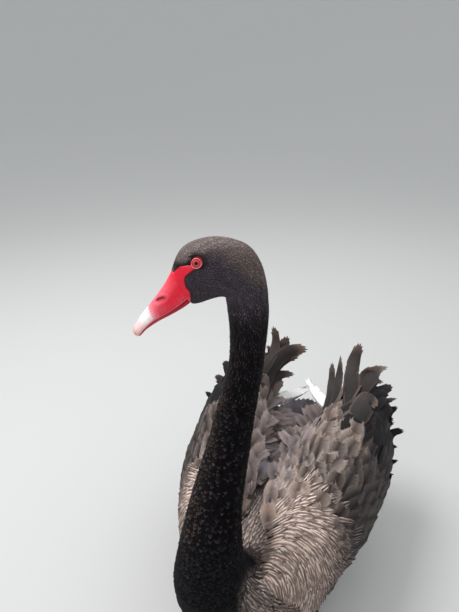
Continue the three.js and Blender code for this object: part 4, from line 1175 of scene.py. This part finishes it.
def primaries(name, sheet, material):
    """White flight feathers, from inside the wing's rear to crossed tips over the tail."""
    count = 9
    side = SIDES[name]
    share = np.linspace(0, 1, count)
    above = 6 if side > 0 else -14
    u, v = np.full(count, 0.82), mix(0.36, 0.5, share)
    place, normal = sheet.at(u, v)
    root = place - normal * 6
    tip = np.stack([side * (-10 + 22 * share), 352 - 40 * share, 236 + above - 4 * share], -1)
    passing = mix(root, tip, 0.45) - UP * 46 + LEFT * side * 14
    curves = np.stack([root, mix(root, passing, 0.8), mix(passing, tip, 0.5) - UP * 4, tip], 1)
    base = speckled(np.tile(WHITE, (count, 1)), 0.03)
    # The lower faces are painted a little darker than the white, and the roots slightly darker, as painted
    # shade.
    piece = free_feathers(
        f"flight_{name}", barbed_pattern(22, 0.3, 0.96, 0.05), curves, UP - REARWARD * 0.5, 12.0,
        (base, base, np.zeros(count)), (u, v), material, cup=0.1, under=base * 0.85,
        shaded=0.9,
    )
    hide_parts(f"primaries_{name}")


def tail(material):
    """Tail fan of rounded feathers in tiers over the rump, each a step below the one before."""
    curves, halves, roots = [], [], []
    for count, length, half, spread, root_x, top, rise in TAIL_TIERS:
        for i in range(count):
            share = (i + i % 2) / count * (-1 if i % 2 else 1)
            angle = math.radians(spread / 2) * share
            root = np.array([root_x * share, RUMP["y"][1] - 24, top - 1.3 * i])
            reach = length * (1 - 0.22 * share * share)
            tip = root + np.array([math.sin(angle) * reach, math.cos(angle) * reach, rise])
            curves.append(arched(root, tip, 4))
            halves.append(half)
            roots.append((0.985, 0.02 * share))
    base = speckled(np.tile(CHARCOAL * 1.6, (len(curves), 1)), 0.25)
    piece = free_feathers(
        "tail_fan", barbed_pattern(18, 0.32, 0.93, 0.08), np.array(curves), UP, halves,
        (base, base * 3.5, np.full(len(base), 0.7)), np.array(roots).T, material, cup=0.18,
    )
    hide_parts("tail")


# Bill and bare face

def bill_sizes(f):
    """Ridge, mouth line, lower edge and half width along the bill, closing round its tip."""
    end, up = BILL[-1, 0], BILL_TIP["up"]
    ridge, mouth, low, half = columns_at(BILL, np.minimum(f, end))
    close = np.sqrt(1 - np.clip((f - end) / (BILL_TIP["f"] - end), 0, 1) ** 2)
    return mix(up, ridge, close), mix(up - 1, mouth, close), mix(up - 2, low, close), half * close


def bill_stations(end, count):
    """Places along the bill, closer toward its tip."""
    return mix(BILL[0, 0], end, np.sin(np.linspace(0, 1, count) * math.pi / 2) ** 0.9)[:, None]


def bill_paint(f, s, u):
    """Crimson bill with a painted reflection of the sky along its ridge, and a soft white patch before its
    flesh-coloured nail.
    """
    ridge, mouth, _, _ = bill_sizes(np.clip(f, BILL[0, 0], BILL_TIP["f"] - 0.5))
    rise = np.clip((u - mouth) / np.maximum(ridge - mouth, 1), 0, 1)
    rough = 0.6 * np.sin(f * 1.3 + u * 0.9) + 0.5 * np.sin(f * 0.7 - u * 2.1 + s * 0.6)
    speckle = ease(0.55, 0.95, 0.5 + 0.3 * np.sin(f * 4.1 + u * 2.3) + 0.3 * np.sin(f * 2.3 - u * 4.7))
    in_band = f - (69.5 + rough * 1.1 + (1 - rise) * 4)
    return layered(CRIMSON, [
        (DEEP_RED, 0.3 * ease(0.35, 0.0, rise)),
        # Painted reflection: pink along the ridge, where the sky is reflected.
        (PINK, 0.6 * ease(0.62, 1.0, rise) * ease(20, 50, f)),
        (PINK * 0.8, 0.3 * ease(48, 66, f + rough * 2)),
        (PINK, 0.6 * ease(56, 46, f) * ease(32, 38, f) * ease(0.5, 0.2, rise) * speckle),
        (PINK * 1.08, ease(-7, 0.5, in_band) * 0.85),
        (BAND, ease(-1, 5, in_band) * ease(0.02, 0.35, rise)),
        (PALE_PINK, ease(83, 90, f + rough)),
        (NAIL, ease(95, 100.5, f + rough * 0.5) * 0.9),
        (NAIL, ease(82, 94, f) * ease(0.45, 0.1, rise) * 0.8),
        (PINK * 1.05, ease(0.07, 0.02, rise) * ease(34, 42, f) * 0.75),
    ])


def upper_bill(material):
    """The upper bill with its nostrils and its nail, closed underneath and at its base."""
    f = bill_stations(BILL_TIP["f"], 120)
    angle = np.linspace(0, math.pi, 81)[None]
    ridge, mouth, _, half = bill_sizes(f)
    across = np.sign(np.cos(angle)) * np.abs(np.cos(angle)) ** 0.85 * half
    up = mouth + (ridge - mouth) * np.sin(angle) ** 0.9
    f, across, up = np.broadcast_arrays(f, across, up)
    ahead, above, lean = f - NOSTRIL["f"], up - NOSTRIL["up"], NOSTRIL["lean"]
    long = (ahead * math.cos(lean) + above * math.sin(lean)) / NOSTRIL["long"]
    tall = (above * math.cos(lean) - ahead * math.sin(lean)) / NOSTRIL["tall"]
    on_side = np.abs(across) > 4
    hole = np.exp(-(long ** 4 + tall ** 2) * 1.2) * on_side
    rim = np.exp(-((np.sqrt(long ** 2 * 0.8 + tall ** 2 * 0.4) - 1.3) / 0.35) ** 2) * on_side
    nail = ease(93.5, 95.5, f) * ease(7, 5.5, np.abs(across)) * 0.4
    out = np.sign(across) * (0.4 * rim - NOSTRIL["deep"] * hole)
    points = in_head(f, across + out, up + nail)
    # Painted shade: deep red inside each nostril.
    paint = layered(bill_paint(f, across, up), [(PINK, rim * 0.25), (DEEP_RED * 0.8, hole)])
    rows, columns = f.shape
    hub = rows * columns
    around = np.arange(columns)
    cap = np.stack([np.full(columns, hub), np.roll(around, -1), around], -1)
    piece = mesh_piece(
        "bill_top", np.concatenate([points.reshape(-1, 3), points[:1].mean(1)]),
        [grid_faces(rows, columns, True), cap], material,
        paint=np.concatenate([paint.reshape(-1, 3), DEEP_RED[None]]),
    )
    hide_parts("bill_upper")


def lower_bill(material):
    """The lower bill, narrower toward its underside and just inside the upper one."""
    f = bill_stations(BILL_TIP["f"] - 2.5, 80)
    angle = turns(48)[None]
    _, mouth, low, half = bill_sizes(f)
    up = (mouth + low) / 2 + np.sin(angle) * (mouth - low) / 2
    rise = (up - low) / np.maximum(mouth - low, 0.5)
    across = np.cos(angle) * np.maximum(half - 1.2, 0.3) * mix(0.78, 1.0, rise)
    paint = layered(DEEP_RED, [(CRIMSON * 0.7, rise), (PINK * 0.8, 0.5 * ease(45, 95, f))])
    points, triangles = capped_tube(in_head(f, across, up - 0.3))
    piece = mesh_piece("bill_bottom", points, [triangles], material,
                       paint=np.concatenate([paint.reshape(-1, 3), DEEP_RED[None], DEEP_RED[None]]))
    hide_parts("bill_lower")


def bare_face(material):
    """Red skin from the bill to the eyes, laid over the head's skin and sunk along its edge."""
    t, angle = np.meshgrid(np.linspace(0, 0.44, 140), turns(320), indexing="ij")
    margin = bare_margin(head_surface(t, angle))
    inset = mix(1.4, 0.0, ease(-0.6, 1.4, margin)) + 2.2 * ease(0.03, 0.0, t)
    points = head_surface(t, angle, inset)
    faces = grid_faces(*t.shape, True)
    faces = faces[(margin.ravel()[faces] > -0.9).any(1)]
    used, faces = np.unique(faces, return_inverse=True)
    f, s, u = np.moveaxis(to_head(points), -1, 0)
    # Painted shade: darker along the edge, where the face sinks under the feathers.
    paint = layered(bill_paint(f, s, u), [(DEEP_RED * 0.5, ease(1.2, 0.2, margin))])
    mesh_piece("bare_face", points.reshape(-1, 3)[used], [faces.reshape(-1, 4)], material,
               paint=paint.reshape(-1, 3)[used])


# Eyes and lids

def eye_place(side):
    """Middle of an eye, and its axes: forward, up its tilted face, and out of it."""
    tilt = EYE["tilt"]
    out = side * LEFTWARD * math.cos(tilt) + CROWNWARD * math.sin(tilt)
    up = CROWNWARD * math.cos(tilt) - side * LEFTWARD * math.sin(tilt)
    return in_head(0, side * EYE["side"], EYE["up"]), np.array([FORWARD, up, out])


def lids(material):
    """A thick red ring round each eye, from the eyeball down to the skin, with a thin pale edge that is
    partly a painted highlight, and painted shade in the groove by the eyeball.
    """
    t, angle = np.meshgrid(np.linspace(0, 0.6, 60), turns(90), indexing="ij")
    skin = head_surface(t, angle, 0.3).reshape(-1, 3)
    tree = BVHTree.FromPolygons(skin.tolist(), grid_faces(*t.shape, True).tolist())
    around, above = turns(80), 40
    reach, rise, pale = LID.T[:, :, None]
    ahead, up = reach * np.cos(around) * 1.04, reach * np.sin(around)
    ball = np.sqrt(EYE["radius"] ** 2 - np.minimum(reach, EYE["radius"] - 0.1) ** 2)
    # Painted shade: dark in the groove next to the eyeball. The pale edge is partly a painted highlight.
    paint = layered(CRIMSON * 1.15, [(PALE_PINK, pale), (DEEP_RED * 0.25, ease(4.15, 3.85, reach))])
    for name, side in SIDES.items():
        middle, axes = eye_place(side)
        starts = middle + np.stack([ahead[-1], up[-1], np.full(len(around), above)], -1) @ axes
        flat = above - np.array([tree.ray_cast(Vector(start), Vector(-axes[2]))[3] for start in starts])
        out = mix(ball, flat, ease(4.4, 5.6, reach)) + rise
        points = middle + np.stack([ahead, up, out], -1) @ axes
        mesh_piece(f"lid_{name}", points, [grid_faces(*out.shape, True)], material,
                   paint=np.broadcast_to(paint, points.shape))


def eyes(material):
    """Two wet eyeballs, each with a dark pupil in a rayed iris."""
    polar, turn = np.linspace(0, math.pi, 49)[:, None], turns(64)[None]
    wide, out = np.sin(polar) * EYE["radius"], np.cos(polar) * EYE["radius"]
    ball = np.stack(np.broadcast_arrays(wide * np.cos(turn), wide * np.sin(turn), out), -1)
    rays = 0.88 + 0.12 * np.sin(turn * 23)
    iris = IRIS * (rays * mix(0.7, 1.15, ease(EYE["pupil"], EYE["iris"], wide)))[..., None]
    paint = layered(INK * 0.15, [
        (iris, ease(EYE["pupil"] - 0.15, EYE["pupil"] + 0.15, wide)),
        (DEEP_RED * 0.2, ease(EYE["iris"] - 0.3, EYE["iris"], wide)),
    ])
    for name, side in SIDES.items():
        middle, axes = eye_place(side)
        piece = mesh_piece(f"eyeball_{name}", middle + ball @ axes, [grid_faces(*ball.shape[:2], True)],
                           material, paint=paint)
        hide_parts(f"eye_{name}")


# Legs and feet

def legs(materials):
    """Smooth, scaly legs and webbed feet over the plain ones, and horn on the claws."""
    for side in SIDES:
        for part in ("leg", "foot"):
            solid = mesh_parts(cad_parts[f"{part}_{side}"].data)
            points, triangles, _ = smooth_skin(*solid, *LEG_SKIN)
            piece = mesh_piece(f"skin_{part}_{side}", over_floor(points), [triangles], materials["leg"])
            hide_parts(f"{part}_{side}")
        for number in range(1, 5):
            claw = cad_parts[f"claw_{side}_{number}"]
            claw.data.materials.clear()
            claw.data.materials.append(materials["claw"])
            claw.data.polygons.foreach_set("use_smooth", np.ones(len(claw.data.polygons), bool))


# Floor, light and camera

def aimed(name, data, place, way):
    """A lamp or camera at a place in metres, looking along a way."""
    thing = placed(name, data)
    thing.location = place
    thing.rotation_euler = Vector(way).to_track_quat("-Z", "Y").to_euler()
    return thing


def studio():
    """A pale floor that curves up into a low rim far off, soft light from above, and the camera."""
    edge = 14000
    reach = (np.linspace(0, 1, 30) ** 1.5 * edge)[:, None]
    rise = np.maximum(reach / edge - 0.2, 0) ** 2 * edge
    around = turns(64)
    points = np.stack(np.broadcast_arrays(reach * np.cos(around), reach * np.sin(around), rise), -1)
    faces = grid_faces(*points.shape[:2], True)[:, ::-1]
    mesh = bpy.data.meshes.new("floor")
    mesh.from_pydata((points.reshape(-1, 3) * MM).tolist(), [], faces.tolist())
    mesh.polygons.foreach_set("use_smooth", np.ones(len(mesh.polygons), bool))
    floor = placed("floor", mesh)
    material, _, shader = new_material("floor_matt", 0.9, 0.1)
    shader.inputs["Base Color"].default_value = (0.56, 0.56, 0.55, 1)
    mesh.materials.append(material)

    world = bpy.data.worlds.new("studio")
    bpy.context.scene.world = world
    world.use_nodes = True
    sky = world.node_tree.nodes["Background"]
    sky.inputs["Color"].default_value = (0.94, 0.97, 1.0, 1)
    sky.inputs["Strength"].default_value = 0.85

    middle = Vector((0, 0, 0.3))
    for name, place, size, power in [
        ("key", (-1.0, 0.1, 2.4), 1.0, 42),
        ("fill", (-0.3, -1.9, 1.3), 1.6, 9),
        ("rear", (0.5, 1.9, 2.3), 1.6, 10),
    ]:
        light = bpy.data.lights.new(name, "AREA")
        light.energy = power
        light.size = size
        aimed(name, light, place, middle - Vector(place))

    # The camera's focal length as a share of the picture's height, its place, and its turn and dip.
    focal_share, sensor = 460 / 612, 36.0
    place, heading, dip = (0.167, -0.589, 0.895), math.radians(22), math.radians(26)
    camera = bpy.data.cameras.new("camera")
    camera.lens = focal_share * sensor
    camera.sensor_width = sensor
    camera.clip_end = 50
    way = (-math.sin(heading) * math.cos(dip), math.cos(heading) * math.cos(dip), -math.sin(dip))
    bpy.context.scene.camera = aimed("camera", camera, place, way)
    bpy.context.scene.view_settings.view_transform = "Standard"


def main():
    studio()
    # Vanes have a count of barbs, their contrast, roughness and sheen, and paint has roughness, size and
    # depth of its grain, and sheen.
    materials = {
        "small": feather_material("small_vanes", 5, 0.12, 0.75, 0.06),
        "body": feather_material("body_vanes", 8, 0.14),
        "wing": feather_material("wing_vanes", 21, 0.4, 0.65, 0.15),
        "curl": feather_material("curled_vanes", 40, 0.09, 0.6, 0.25),
        "white": feather_material("white_vanes", 22, 0.04, 0.6, 0.25),
        "skin": painted_material("feathered_skin", 0.85, 300.0, 0.0004, 0.1),
        "bill": painted_material("bill_horn", 0.38, 240.0, 0.0001, 0.35),
        "eye": painted_material("wet_eye", 0.06, 500.0, 0.0, 0.2),
        "leg": scaly_material("leg_scales", (0.030, 0.027, 0.027), 0.5),
        "claw": new_material("claw_horn", 0.3)[0],
    }
    claw_shader = materials["claw"].node_tree.nodes["Principled BSDF"]
    claw_shader.inputs["Base Color"].default_value = (0.015, 0.013, 0.013, 1)

    points, triangles = body_skin()
    skin = mesh_piece("skin_body", points, [triangles], materials["skin"],
                      paint=body_colours(points) * 0.4)
    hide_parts(*FLESH)
    body_coats(body_sheet(points, triangles), materials)

    for name, side in SIDES.items():
        wing = wing_sheet(side)
        wing_skin(name, wing, materials["skin"])
        wing_coats(name, wing, materials)
        wing_curls(name, wing, materials["curl"])
        rear_feathers(name, wing, materials["curl"])
        tertials(name, wing, materials["curl"])
        primaries(name, wing, materials["white"])
    tail(materials["curl"])

    bare_face(materials["bill"])
    upper_bill(materials["bill"])
    lower_bill(materials["bill"])
    eyes(materials["eye"])
    lids(materials["bill"])
    legs(materials)


main()
